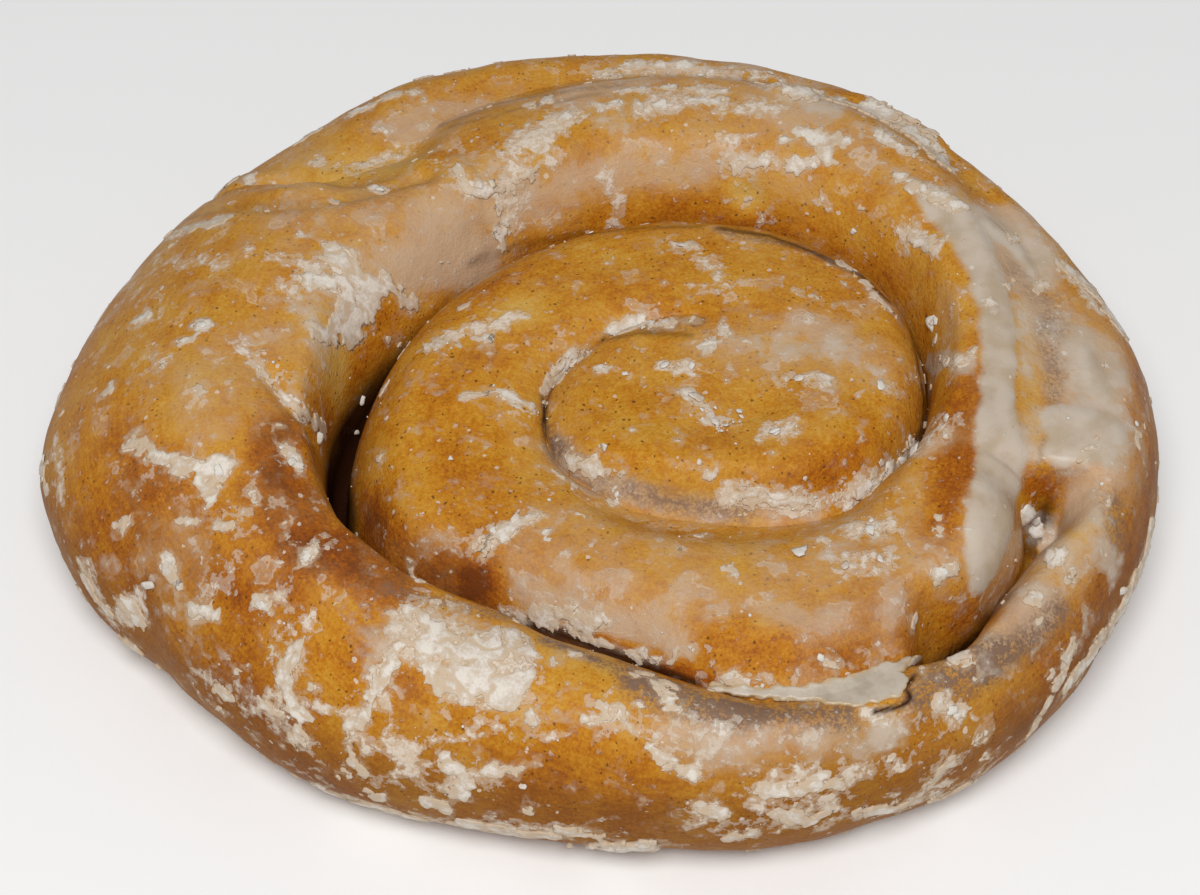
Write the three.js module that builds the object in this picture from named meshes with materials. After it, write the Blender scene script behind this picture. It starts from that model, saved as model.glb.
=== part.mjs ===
// Honey bun: one rope of dough wound into a flat coil of about two and a half turns.
//
// Millimetres, +Z up. The origin is the middle of the footprint, on the plane that the bun rests on.
// +X is the bun's width, +Y its depth. The coil winds outwards anticlockwise, seen from above.
//
// The dough is one solid. A single crease winds out from the middle and divides its top into turns.
// Every place on the top has a turn, in degrees along the rope from its inner end, and a share of
// the way across the rope, from the crease on its inner side to the crease or outline on its outer
// side. One full turn further on, the inner side of the rope is the outer side of the turn before.

import * as THREE from 'three';

// ---- Driving dimensions -------------------------------------------------------------------------

const COIL_CENTRE = { x: 13, y: -13.5 };
const WIDEST_HEIGHT = 13;
const FOOT_INSET = 9;
const ROPE_START = 10;
const ROPE_MEETS_OUTLINE = 865;

const FULL_TURN = 360;
const TURN_STEP = 5;
const STEPS_ACROSS = 10;
const SIDE_RINGS = 4;
const BASE_RINGS = 2;
const POINTED_WIDTH = 1e-6; // stands in for no width, where the rope comes to a point

// Outline of the widest level, as a distance from the coil's centre at each bearing.
const OUTLINE_RADIUS = [
  [0, 49], [20, 52.6], [40, 54.8], [58, 57], [70, 62.3], [90, 67], [110, 70.8], [130, 75],
  [150, 77], [165, 77], [174, 76.6], [184, 72.4], [195, 64.2], [215, 55.2], [240, 44.8],
  [265, 41], [290, 40.8], [320, 43], [340, 45],
];

// The crease between two turns, by its turn: how far out it runs and how high its floor is. It has
// no depth over the first quarter turn and a slight one near its outer end.
const CREASE_RADIUS = [
  [10, 0], [97, 17.7], [150, 20.5], [184, 18], [210, 13.6], [265, 10], [334, 15.8], [371, 22.9],
  [423, 34.7], [464, 37.9], [501, 39.6], [534, 42.5], [556, 40.1], [584, 30], [607, 28.1], [652, 34],
  [672, 33], [711, 36], [733, 38.5], [769, 48.6], [794, 54.8], [841, 58.8], [850, 56.5],
  [857, 58.5], [865, 76.6],
];
const CREASE_FLOOR = [
  [10, 28.5], [85, 28.5], [127, 25.6], [157, 24], [210, 24.2], [318, 23.8], [350, 21], [371, 17],
  [402, 18], [439, 21], [501, 20], [528, 10], [542, 8], [556, 11], [577, 16], [610, 19],
  [630, 20.8], [642, 22.2], [658, 22.4], [664, 21.5], [669, 16], [675, 10], [690, 16], [703, 17],
  [709, 16.5], [712, 18.5], [715.5, 26.3], [733, 27.6], [745, 28.2], [769, 28.8], [794, 28.8],
  [841, 28], [850, 27.5], [857, 27], [860, 25], [863, 22], [865, 13], [1225, 13],
];

// How far glaze fills that crease up to a soft hollow: 0 where it is open.
const CREASE_FILL = [
  [10, 0], [190, 0], [225, 0.85], [318, 0.85], [350, 0], [628, 0], [642, 0.8], [660, 0.85],
  [668, 0], [711, 0], [716, 0.95], [780, 0.95], [841, 0.8], [857, 0.6], [865, 0], [1225, 0],
];

// Where the turns stand apart, half the width of the gap at its floor.
const CREASE_GAP = [
  [10, 0], [510, 0], [534, 0.75], [552, 0.6], [570, 0], [664, 0], [675, 0.8], [688, 0], [700, 0.2],
  [709, 1.7], [713, 1.3], [718, 0], [865, 0], [1225, 0],
];

// The rope's two shoulders beside that crease, by the crease's turn: how high they stand and how
// wide they are rounded. Past the crease's end the outer shoulder falls to the outline instead.
const OUTER_SHOULDER_HEIGHT = [
  [10, 28.5], [85, 28.5], [157, 27], [210, 28], [318, 28], [371, 27.5], [439, 26.5], [528, 26.5],
  [577, 26], [642, 26], [675, 27], [711, 29], [733, 31], [769, 32], [794, 32], [841, 30],
  [857, 28.5], [865, 29], [900, 29], [940, 25], [990, 23.5], [1030, 23], [1080, 24.5], [1130, 24.5],
  [1200, 26.5], [1220, 25.5], [1225, 13],
];
const OUTER_SHOULDER_ROUND = [
  [10, 4], [210, 5], [371, 5], [439, 6], [528, 8], [577, 6], [642, 7], [690, 5], [711, 9],
  [745, 10], [769, 7], [841, 5], [857, 6], [865, 26], [900, 24], [940, 16], [990, 9], [1040, 8],
  [1080, 6], [1120, 7], [1150, 8], [1200, 9], [1215, 14], [1225, 16],
];
const INNER_SHOULDER_HEIGHT = [
  [10, 28.5], [85, 28.5], [157, 27.5], [210, 26.5], [318, 26.5], [371, 29], [439, 31], [501, 32],
  [528, 31], [556, 27.5], [577, 25], [610, 23.5], [658, 23.5], [696, 23], [708, 23.8], [716, 25.8],
  [733, 26.8], [769, 27.3], [794, 27.3], [841, 28], [857, 27], [862, 24.5], [865, 13],
];
const INNER_SHOULDER_ROUND = [
  [10, 4], [157, 4], [252, 7], [371, 4], [439, 6], [510, 8], [532, 3], [556, 3], [584, 4],
  [696, 4], [716, 6], [733, 7], [794, 7], [841, 6], [865, 4],
];

// How far the rope's back arches above its two shoulders.
const ROPE_ARCH = [
  [10, 0], [97, 0], [210, 1], [360, 1], [457, 0.5], [600, 1], [730, 0.5], [810, 1.5], [900, 2],
  [1000, 0.5], [1200, 1], [1225, 0],
];

// Colour and finish.
const DOUGH = new THREE.MeshStandardMaterial({
  name: 'browned_dough',
  color: 0xc08a4c,
  roughness: 0.45,
  metalness: 0,
});

// ---- Smooth curves through stations -------------------------------------------------------------

// Slopes that keep a curve from swinging past its stations.
function stationSlopes(stations) {
  const grade = (i) => (stations[i + 1][1] - stations[i][1]) / (stations[i + 1][0] - stations[i][0]);
  const last = stations.length - 1;
  return stations.map((_, i) => {
    if (i === 0) return grade(0);
    if (i === last) return grade(last - 1);
    const before = grade(i - 1);
    const after = grade(i);
    return before * after <= 0 ? 0 : (2 * before * after) / (before + after);
  });
}

// A function of the turn, smooth through its [turn, value] stations and level beyond the ends.
function curveThrough(stations) {
  const slopes = stationSlopes(stations);
  const last = stations.length - 1;
  return (turn) => {
    if (turn <= stations[0][0]) return stations[0][1];
    if (turn >= stations[last][0]) return stations[last][1];
    const i = stations.findIndex((station) => station[0] > turn) - 1;
    const span = stations[i + 1][0] - stations[i][0];
    const t = (turn - stations[i][0]) / span;
    const rise = t * t * (3 - 2 * t);
    const leaving = t * (1 - t) * (1 - t) * span * slopes[i];
    const arriving = t * t * (t - 1) * span * slopes[i + 1];
    return THREE.MathUtils.lerp(stations[i][1], stations[i + 1][1], rise) + leaving + arriving;
  };
}

// The same, for stations that repeat every full turn.
function curveAround(stations) {
  const shifted = (by) => stations.map(([bearing, value]) => [bearing + by, value]);
  const curve = curveThrough([...shifted(-FULL_TURN), ...stations, ...shifted(FULL_TURN)]);
  return (turn) => curve(THREE.MathUtils.euclideanModulo(turn, FULL_TURN));
}

const outlineRadius = curveAround(OUTLINE_RADIUS);
const creaseRadius = curveThrough(CREASE_RADIUS);
const creaseFloor = curveThrough(CREASE_FLOOR);
const outerShoulderHeight = curveThrough(OUTER_SHOULDER_HEIGHT);
const outerShoulderRound = curveThrough(OUTER_SHOULDER_ROUND);
const innerShoulderHeight = curveThrough(INNER_SHOULDER_HEIGHT);
const innerShoulderRound = curveThrough(INNER_SHOULDER_ROUND);
const creaseGap = curveThrough(CREASE_GAP);
const creaseFill = curveThrough(CREASE_FILL);
const ropeArch = curveThrough(ROPE_ARCH);

// ---- The rope's surface -------------------------------------------------------------------------

// How far out the rope's outer side is: on the crease, and past its end on the outline.
function outerEdgeRadius(turn) {
  return turn < ROPE_MEETS_OUTLINE ? creaseRadius(turn) : outlineRadius(turn);
}

// How far out its inner side is: on the crease one turn earlier, or at the centre.
function innerEdgeRadius(turn) {
  return turn - FULL_TURN <= ROPE_START ? 0 : creaseRadius(turn - FULL_TURN);
}

// How much of a shoulder's drop is left at a distance in from its crease: all of it at 0, and none
// past the rounding, falling along a quarter of an ellipse, or softly where the crease is filled.
function shoulderDrop(distance, round, filled) {
  const inward = 1 - THREE.MathUtils.clamp(distance / round, 0, 1);
  const open = 1 - Math.sqrt(1 - inward * inward);
  return THREE.MathUtils.lerp(open, THREE.MathUtils.smoothstep(inward, 0, 1), filled);
}

// Height of the dough at a turn and a share across the rope.
function ropeHeight(turn, across) {
  const inner = Math.max(turn - FULL_TURN, ROPE_START);
  const width = Math.max(outerEdgeRadius(turn) - innerEdgeRadius(turn), POINTED_WIDTH);
  const fromInner = across * width;
  const fromOuter = width - fromInner;
  const innerHeight = innerShoulderHeight(inner);
  const outerHeight = outerShoulderHeight(turn);
  const back = THREE.MathUtils.lerp(innerHeight, outerHeight, THREE.MathUtils.smoothstep(across, 0, 1))
    + ropeArch(turn) * (4 * across * (1 - across)) ** 2;
  const innerRound = Math.min(innerShoulderRound(inner), width);
  const outerRound = Math.min(outerShoulderRound(turn), width);
  const innerDrop = (innerHeight - creaseFloor(inner))
    * shoulderDrop(fromInner - creaseGap(inner), innerRound, creaseFill(inner));
  const outerDrop = (outerHeight - creaseFloor(turn))
    * shoulderDrop(fromOuter - creaseGap(turn), outerRound, creaseFill(turn));
  return back - innerDrop - outerDrop;
}

function placeAt(bearing, radius, height) {
  const angle = THREE.MathUtils.degToRad(bearing);
  return [
    COIL_CENTRE.x + radius * Math.cos(angle),
    COIL_CENTRE.y + radius * Math.sin(angle),
    height,
  ];
}

function ropePoint(turn, across) {
  const radius = THREE.MathUtils.lerp(innerEdgeRadius(turn), outerEdgeRadius(turn), across);
  return placeAt(turn, radius, ropeHeight(turn, across));
}

// ---- The closed body ----------------------------------------------------------------------------

// Rows of points are laid along the rope. A row shares its two end points with its neighbours: the
// inner end with the row one turn before, and the outer end, past the crease, with the outline.
function doughGeometry() {
  const points = [];
  const faces = [];
  const addPoint = (point) => points.push(point) - 1;
  const addTriangle = (a, b, c) => {
    if (a !== b && b !== c && c !== a) faces.push(a, b, c);
  };
  const addQuad = (a, b, c, d) => {
    addTriangle(a, b, c);
    addTriangle(a, c, d);
  };

  const rowsPerTurn = FULL_TURN / TURN_STEP;
  const meetingRow = (ROPE_MEETS_OUTLINE - ROPE_START) / TURN_STEP;
  const lastRow = meetingRow + rowsPerTurn;
  const turnOf = (row) => ROPE_START + row * TURN_STEP;

  const centre = addPoint(ropePoint(ROPE_START, 0));
  const edges = [centre];
  for (let row = 1; row < lastRow; row += 1) edges.push(addPoint(ropePoint(turnOf(row), 1)));
  edges.push(edges[meetingRow]);

  // Points crowd towards both sides of the rope, where it curves most.
  const rows = edges.map((edge, row) => {
    const inner = row <= rowsPerTurn ? centre : edges[row - rowsPerTurn];
    if (inner === edge) return new Array(STEPS_ACROSS + 1).fill(edge);
    const line = [inner];
    for (let step = 1; step < STEPS_ACROSS; step += 1) {
      const across = (1 - Math.cos((Math.PI * step) / STEPS_ACROSS)) / 2;
      line.push(addPoint(ropePoint(turnOf(row), across)));
    }
    line.push(edge);
    return line;
  });
  for (let row = 0; row < lastRow; row += 1) {
    for (let step = 0; step < STEPS_ACROSS; step += 1) {
      addQuad(rows[row][step], rows[row][step + 1], rows[row + 1][step + 1], rows[row + 1][step]);
    }
  }

  // Below its widest level the dough rolls under along a quarter of an ellipse to its flat foot.
  let ring = edges.slice(meetingRow, lastRow);
  const addRing = (radiusAt, height) => {
    const next = ring.map((_, i) => {
      const turn = turnOf(meetingRow + i);
      return addPoint(placeAt(turn, radiusAt(outlineRadius(turn)), height));
    });
    ring.forEach((_, i) => {
      const j = (i + 1) % ring.length;
      addQuad(ring[i], next[i], next[j], ring[j]);
    });
    ring = next;
  };
  for (let step = 1; step <= SIDE_RINGS; step += 1) {
    const roll = (Math.PI / 2) * (step / SIDE_RINGS);
    const inset = FOOT_INSET * (1 - Math.cos(roll));
    addRing((outline) => outline - inset, WIDEST_HEIGHT * (1 - Math.sin(roll)));
  }
  for (let step = 1; step <= BASE_RINGS; step += 1) {
    const share = 1 - step / (BASE_RINGS + 1);
    addRing((outline) => (outline - FOOT_INSET) * share, 0);
  }
  const footCentre = addPoint(placeAt(0, 0, 0));
  ring.forEach((_, i) => addTriangle(ring[i], footCentre, ring[(i + 1) % ring.length]));

  const geometry = new THREE.BufferGeometry();
  geometry.setAttribute('position', new THREE.Float32BufferAttribute(points.flat(), 3));
  geometry.setIndex(faces);
  geometry.computeVertexNormals();
  return geometry;
}

const bun = new THREE.Mesh(doughGeometry(), DOUGH);
bun.name = 'bun';

const part = new THREE.Group();
part.add(bun);

export default part;
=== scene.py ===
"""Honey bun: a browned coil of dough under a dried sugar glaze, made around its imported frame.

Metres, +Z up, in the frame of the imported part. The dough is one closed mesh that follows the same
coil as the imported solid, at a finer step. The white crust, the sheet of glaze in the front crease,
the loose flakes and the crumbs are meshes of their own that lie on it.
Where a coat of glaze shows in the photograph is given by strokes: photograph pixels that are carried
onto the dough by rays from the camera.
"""

import logging
import math
from collections.abc import Iterable, Sequence
from dataclasses import dataclass, field
from enum import Enum

import bpy
import numpy as np
from mathutils import Matrix, Vector, noise
from mathutils.bvhtree import BVHTree


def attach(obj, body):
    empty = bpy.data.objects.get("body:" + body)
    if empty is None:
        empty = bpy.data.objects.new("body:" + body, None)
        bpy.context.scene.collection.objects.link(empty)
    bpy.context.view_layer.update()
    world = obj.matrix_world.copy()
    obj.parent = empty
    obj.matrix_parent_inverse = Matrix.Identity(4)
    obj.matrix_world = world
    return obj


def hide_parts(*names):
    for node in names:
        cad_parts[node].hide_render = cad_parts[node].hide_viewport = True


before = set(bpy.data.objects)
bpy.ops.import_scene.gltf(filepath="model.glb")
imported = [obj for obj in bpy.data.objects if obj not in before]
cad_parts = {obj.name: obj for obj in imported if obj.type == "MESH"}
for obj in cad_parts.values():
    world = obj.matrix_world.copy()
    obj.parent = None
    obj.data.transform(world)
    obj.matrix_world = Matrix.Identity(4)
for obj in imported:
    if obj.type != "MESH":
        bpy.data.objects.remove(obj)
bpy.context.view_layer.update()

MM = 0.001
FULL_TURN = 360.0
TINY = 1e-9
BODY = "root"
DOUGH_NODE = "bun"
MARGIN_MM = 1.2  # how far past its strokes a sheet is peeled, before it is trimmed

Pixel = tuple[float, float]
Station = tuple[float, float]
Colour = tuple[float, float, float]
Place = tuple[float, float, float]
Piece = bpy.types.Object
Mesh = bpy.types.Mesh
Material = bpy.types.Material
Node = bpy.types.Node
NodeTree = bpy.types.NodeTree
Socket = bpy.types.NodeSocket
Level = Socket | float
Array = np.ndarray

log = logging.getLogger("honey_bun")


class Slot(Enum):
    """The record's material slots."""

    DOUGH = "dough"
    GLAZE = "glaze"


class Kept(Enum):
    """The numbers that a piece keeps for each of its vertices."""

    # browning, with painted shade of creases and the outer rim
    TOAST_AND_SHADE = "toast_and_shade"
    FILM = "film"
    CINNAMON = "cinnamon"
    RESIDUE = "residue"
    CRUST = "crust"
    # painted shade of deep creases and cracks
    GAP_SHADE = "gap"
    MILK = "milk"
    HAZE = "haze"
    CREASE = "crease"
    OUTSIDE = "outside"
    # painted shade on the steep outer rim
    RIM_SHADE = "rim"
    DEPTH = "depth"
    STRENGTH = "strength"


# ---- Small tools ----


def smooth_step(value: Array, low: float, high: float) -> Array:
    """Rises smoothly from 0 at low to 1 at high.

    Args:
        value: Numbers to judge.
        low: Where the rise starts.
        high: Where it ends.

    Returns:
        A share from 0 to 1 for each number.
    """
    share = np.clip((value - low) / (high - low), 0.0, 1.0)
    return share * share * (3.0 - 2.0 * share)


def soft_max(first: Array, second: Array, blend: float) -> Array:
    """The larger of two heights, with the corner between them rounded over a blend distance."""
    gap = first - second
    return (first + second + np.sqrt(gap * gap + blend * blend)) / 2.0


def lumps(points: Array, size_mm: float, octaves: int, seed: int) -> Array:
    """Uneven noise, about -1 to 1, at places in metres.

    Args:
        points: Places, one row each.
        size_mm: How far apart the largest lumps are.
        octaves: How many finer layers are added.
        seed: Which pattern; the same seed always gives the same one.

    Returns:
        One number for each place.
    """
    shift = np.array((17.3, -9.1, 4.7)) * seed
    places = (points / (size_mm * MM) + shift).tolist()
    return np.fromiter((noise.fractal(p, 1.0, 2.0, octaves) for p in places), float, len(points))


def plates(points: Array, size_mm: float, seed: int) -> tuple[Array, Array]:
    """Splits space into angular plates, as dried glaze cracks.

    Args:
        points: Places in metres, one row each.
        size_mm: How wide the plates are.
        seed: Which pattern.

    Returns:
        The distance of each place from the nearest crack, in millimetres, and a number from
        -1 to 1 that is the same all over a plate.
    """
    shift = np.array((-3.9, 12.7, 8.3)) * seed
    cells = [noise.voronoi(p) for p in (points / (size_mm * MM) + shift).tolist()]
    reach = np.array([cell[0][:2] for cell in cells])
    cores = np.array([cell[1][0][:] for cell in cells])
    luck = np.sin(cores @ np.array((127.1, 311.7, 74.7))) * 43758.5
    return (reach[:, 1] - reach[:, 0]) * size_mm / 2.0, 2.0 * (luck - np.floor(luck)) - 1.0


def deselect_all() -> None:
    """Leaves object mode with nothing selected."""
    if bpy.context.mode != "OBJECT":
        bpy.ops.object.mode_set(mode="OBJECT")
    bpy.ops.object.select_all(action="DESELECT")


def take(*pieces: Piece) -> None:
    """Selects only the given pieces and makes the first one active."""
    deselect_all()
    for piece in pieces:
        piece.select_set(True)
    bpy.context.view_layer.objects.active = pieces[0]


def pick(piece: Piece, mode: str, wanted: Array) -> None:
    """Enters edit mode with only some of a piece's vertices or faces selected.

    Args:
        piece: The piece.
        mode: "VERT" or "FACE".
        wanted: Which of them are selected.
    """
    take(piece)
    bpy.ops.object.mode_set(mode="EDIT")
    bpy.ops.mesh.select_mode(type=mode)
    bpy.ops.mesh.select_all(action="DESELECT")
    bpy.ops.object.mode_set(mode="OBJECT")
    items = piece.data.vertices if mode == "VERT" else piece.data.polygons
    items.foreach_set("select", wanted)
    bpy.ops.object.mode_set(mode="EDIT")


def read(items: bpy.types.bpy_prop_collection, name: str, kind: type = np.float32,
         wide: int = 1) -> Array:
    """Reads one property of all the items of a mesh.

    Args:
        items: The mesh's vertices, edges, faces, corners or an attribute's data.
        name: The property.
        kind: What its numbers are.
        wide: How many numbers each item has.

    Returns:
        A row for each item, or a plain list where an item has one number.
    """
    flat = np.empty(len(items) * wide, dtype=kind)
    items.foreach_get(name, flat)
    return flat if wide == 1 else flat.reshape(-1, wide)


def places_of(mesh: Mesh) -> Array:
    """The mesh's vertices as rows of x, y, z in metres."""
    return read(mesh.vertices, "co", wide=3).astype(float)


def normals_of(mesh: Mesh) -> Array:
    """The mesh's vertex normals as rows."""
    return read(mesh.vertex_normals, "vector", wide=3).astype(float)


def put_places(mesh: Mesh, points: Array) -> None:
    """Moves the mesh's vertices to rows of x, y, z in metres."""
    mesh.vertices.foreach_set("co", np.asarray(points, dtype=np.float32).ravel())
    mesh.update()


def keep_values(mesh: Mesh, what: Kept, values: Array) -> None:
    """Keeps one number for each vertex as an attribute of the mesh."""
    kept = mesh.attributes.get(what.value) or mesh.attributes.new(what.value, "FLOAT", "POINT")
    kept.data.foreach_set("value", np.asarray(values, dtype=np.float32))


def values_of(mesh: Mesh, what: Kept) -> Array:
    """The numbers that keep_values kept."""
    return read(mesh.attributes[what.value].data, "value").astype(float)


def add_grid(name: str, x_steps: int, y_steps: int) -> Piece:
    """Adds a flat grid that is bent into shape afterwards.

    Args:
        name: The piece's name.
        x_steps: How many faces it has along X.
        y_steps: How many faces it has along Y.

    Returns:
        The grid, two metres across, centred on the origin.
    """
    deselect_all()
    bpy.ops.mesh.primitive_grid_add(x_subdivisions=x_steps, y_subdivisions=y_steps, size=2.0)
    grid = bpy.context.active_object
    grid.name = name
    grid.data.name = name
    return grid


def grid_shares(grid: Piece) -> tuple[Array, Array]:
    """How far along X and along Y each of the grid's vertices is, from 0 to 1."""
    flat = places_of(grid.data)
    return (flat[:, 0] + 1.0) / 2.0, (flat[:, 1] + 1.0) / 2.0


def weld(piece: Piece, within: float = 2e-6) -> None:
    """Closes the piece's seams and points all its faces outwards.

    Args:
        piece: The piece.
        within: How far apart the vertices of a seam may be, in metres.
    """
    take(piece)
    bpy.ops.object.mode_set(mode="EDIT")
    bpy.ops.mesh.select_all(action="SELECT")
    bpy.ops.mesh.remove_doubles(threshold=within)
    bpy.ops.mesh.normals_make_consistent(inside=False)
    bpy.ops.mesh.select_all(action="DESELECT")
    bpy.ops.object.mode_set(mode="OBJECT")


def join(pieces: Sequence[Piece], name: str) -> Piece:
    """Joins pieces into the first one and names it.

    Args:
        pieces: The pieces.
        name: What the whole is called.

    Returns:
        The whole.
    """
    take(*pieces)
    bpy.ops.object.join()
    whole = bpy.context.active_object
    whole.name = name
    whole.data.name = name
    return whole


def multiply(piece: Piece, doublings: int) -> None:
    """Copies a piece over and over until it holds 2, 4, 8 and so on of itself.

    Args:
        piece: The piece.
        doublings: How many times it is doubled.
    """
    for _ in range(doublings):
        take(piece)
        bpy.ops.object.duplicate()
        join((piece, bpy.context.active_object), piece.name)


def enter(piece: Piece, slot: Slot, finish: Material, *replaced: str) -> None:
    """Dresses a modelled piece, puts it on the body and reports it.

    Args:
        piece: The piece.
        slot: The record's slot that its finish belongs to; not used.
        finish: Its material.
        replaced: Nodes of the frame that it stands for.
    """
    piece.data.materials.clear()
    piece.data.materials.append(finish)
    take(piece)
    bpy.ops.object.shade_smooth()
    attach(piece, BODY)
    for node in replaced:
        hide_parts(node)
    piece.data.calc_loop_triangles()
    log.info("%s: %d triangles", piece.name, len(piece.data.loop_triangles))


# ---- The photograph's view ----


@dataclass(frozen=True)
class PhotoView:
    """The camera that took the photograph, looking along +Y and down."""

    width_px: float = 1200.0
    height_px: float = 895.0
    elevation_deg: float = 48.0
    lens_mm: float = 100.0
    sensor_mm: float = 36.0
    distance: float = 0.376
    target: Place = (0.0, -0.0052, 0.016)

    @property
    def backwards(self) -> Vector:
        """The direction from the bun to the camera."""
        lift = math.radians(self.elevation_deg)
        return Vector((0.0, -math.cos(lift), math.sin(lift)))

    @property
    def eye(self) -> Vector:
        """Where the camera stands."""
        return Vector(self.target) + self.backwards * self.distance

    def ray(self, pixel: Pixel) -> Vector:
        """The direction in which the camera sees a pixel of the photograph.

        Args:
            pixel: A place in the photograph.

        Returns:
            A direction of length 1.
        """
        across = Vector((1.0, 0.0, 0.0))
        up = self.backwards.cross(across)
        focal_px = self.lens_mm / self.sensor_mm * self.width_px
        right_px = pixel[0] - self.width_px / 2.0
        down_px = pixel[1] - self.height_px / 2.0
        return (across * right_px - up * down_px - self.backwards * focal_px).normalized()

    def build(self) -> None:
        """Adds the camera and makes it the scene's own."""
        deselect_all()
        turn = (math.radians(90.0 - self.elevation_deg), 0.0, 0.0)
        bpy.ops.object.camera_add(location=self.eye, rotation=turn)
        camera = bpy.context.active_object
        camera.name = "photo_camera"
        camera.data.lens = self.lens_mm
        camera.data.sensor_width = self.sensor_mm
        camera.data.clip_start = 0.01
        bpy.context.scene.camera = camera


@dataclass(frozen=True)
class Stroke:
    """One brush stroke of a coat, where it shows in the photograph.

    Its widths, at its start and its end, are real ones in millimetres: the full width of a hard
    stroke, or how far a soft one reaches to either side.
    """

    width_mm: float
    end_mm: float
    path: tuple[Pixel, ...]
    strength: float = 1.0

    @property
    def widest_mm(self) -> float:
        """The larger of its widths."""
        return max(self.width_mm, self.end_mm)


def soft(reach_mm: float, strength: float, *path: Pixel, end_mm: float | None = None) -> Stroke:
    """A stroke that fades to nothing, through pixels of the photograph."""
    return Stroke(reach_mm, reach_mm if end_mm is None else end_mm, path, strength)


def hard(width_mm: float, *path: Pixel, strength: float = 1.0,
         end_mm: float | None = None) -> Stroke:
    """A stroke with an edge, through pixels of the photograph."""
    return Stroke(width_mm, width_mm if end_mm is None else end_mm, path, strength)


@dataclass
class LaidStroke:
    """A stroke's course on the dough, in metres."""

    stroke: Stroke
    course: Array

    def distance(self, points: Array, reach_mm: float) -> tuple[Array, Array, Array]:
        """How far places near the stroke are from its course.

        Args:
            points: Places, one row each.
            reach_mm: How far from the course places still count.

        Returns:
            Which places count, how far each is from the course and how wide the stroke is beside
            it, both in millimetres.
        """
        low = self.course.min(axis=0) - reach_mm * MM
        high = self.course.max(axis=0) + reach_mm * MM
        near = np.flatnonzero(np.all((points > low) & (points < high), axis=1))
        spots = points[near]
        legs = np.linalg.norm(np.diff(self.course, axis=0), axis=1)
        marks = np.concatenate(((0.0,), np.cumsum(legs))) / max(legs.sum(), TINY)
        nearest = np.linalg.norm(spots - self.course[0], axis=1)
        walked = np.zeros(len(near))
        for i, (start, end) in enumerate(zip(self.course[:-1], self.course[1:])):
            along = end - start
            share = np.clip(((spots - start) @ along) / max(along @ along, TINY), 0.0, 1.0)
            away = np.linalg.norm(spots - start - share[:, None] * along, axis=1)
            closer = away < nearest
            nearest = np.where(closer, away, nearest)
            walked = np.where(closer, marks[i] + (marks[i + 1] - marks[i]) * share, walked)
        width = self.stroke.width_mm + (self.stroke.end_mm - self.stroke.width_mm) * walked
        return near, nearest / MM, width


@dataclass
class Brushwork:
    """Carries strokes from the photograph onto the dough."""

    view: PhotoView
    tree: BVHTree
    step_px: float = 12.0
    inward_px: float = 2.0
    middle_px: Pixel = (600.0, 450.0)

    def land(self, pixel: Pixel) -> tuple[Vector, Vector]:
        """Where a pixel of the photograph lies on the dough, or the nearest place inwards.

        Args:
            pixel: A place in the photograph.

        Returns:
            The place on the dough, and the dough's normal there.
        """
        spot = Vector(pixel)
        inward = (Vector(self.middle_px) - spot).normalized() * self.inward_px
        while True:
            place, normal, _, _ = self.tree.ray_cast(self.view.eye, self.view.ray(spot[:]))
            if place is not None:
                return place, normal
            spot += inward

    def lay(self, mark: Stroke) -> LaidStroke:
        """Carries one stroke onto the dough.

        Args:
            mark: The stroke.

        Returns:
            The stroke and its course.
        """
        pixels = [Vector(mark.path[0])]
        for start, end in zip(mark.path[:-1], mark.path[1:]):
            leg = Vector(end) - Vector(start)
            steps = max(1, round(leg.length / self.step_px))
            pixels += [Vector(start) + leg * (i + 1) / steps for i in range(steps)]
        return LaidStroke(mark, np.array([self.land(pixel[:])[0] for pixel in pixels]))

    def soft(self, marks: Iterable[Stroke], points: Array) -> Array:
        """Adds up soft strokes.

        Args:
            marks: Strokes of one coat.
            points: Places, one row each.

        Returns:
            At each place, the sum of the strengths, each fading to 0 at its stroke's width.
        """
        total = np.zeros(len(points))
        for mark in marks:
            near, away, reach = self.lay(mark).distance(points, mark.widest_mm)
            fade = np.clip(1.0 - (away / reach) ** 2, 0.0, 1.0)
            total[near] += mark.strength * fade * fade
        return total

    def inside(self, marks: Iterable[Stroke], points: Array,
               outside_mm: float = 3.0) -> tuple[Array, Array]:
        """How far inside hard strokes each place is.

        Args:
            marks: Strokes of one coat.
            points: Places, one row each.
            outside_mm: The largest distance told outside the strokes.

        Returns:
            Millimetres inside the nearest stroke's edge, less than 0 outside, and the strength
            of that stroke.
        """
        depth = np.full(len(points), -outside_mm)
        strength = np.ones(len(points))
        for mark in marks:
            reach = mark.widest_mm / 2.0 + outside_mm
            near, away, width = self.lay(mark).distance(points, reach)
            inside = width / 2.0 - away
            deeper = inside > depth[near]
            depth[near[deeper]] = inside[deeper]
            strength[near[deeper]] = mark.strength
        return depth, strength


# ---- What lies where ----

# The strokes of each coat, with pixels read from the photograph.

# Folds and dents pressed into the dough: the strength is a height in millimetres.
RELIEF = (
    soft(4.5, 0.8, (285, 440), (278, 480), (312, 530), (370, 572)),
    soft(1.8, -1.1, (268, 375), (295, 408), (318, 440)),
    soft(10, 0.9, (215, 410)),
    soft(2.2, -0.7, (424, 177), (350, 195), (312, 201), (240, 205)),
    soft(3.2, 0.5, (424, 163), (350, 182), (290, 190)),
    soft(3, 0.9, (785, 90), (868, 106), (928, 142)),
    soft(3, -0.5, (478, 236)),
    soft(3, -0.6, (750, 200)),
    soft(6, -0.5, (140, 615)),
    soft(3, 0.35, (945, 240), (968, 320), (972, 420), (962, 520)),
    soft(1.6, 0.45, (455, 160), (478, 188), (515, 184), (532, 165), (570, 150)),
    soft(1.4, -0.2, (486, 196), (492, 250)),
    soft(5, 0.4, (235, 520)),
    soft(6, 0.3, (640, 560), (760, 570)),
    soft(7, 0.4, (820, 430)),
    soft(6, 0.4, (400, 520)),
)
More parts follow.
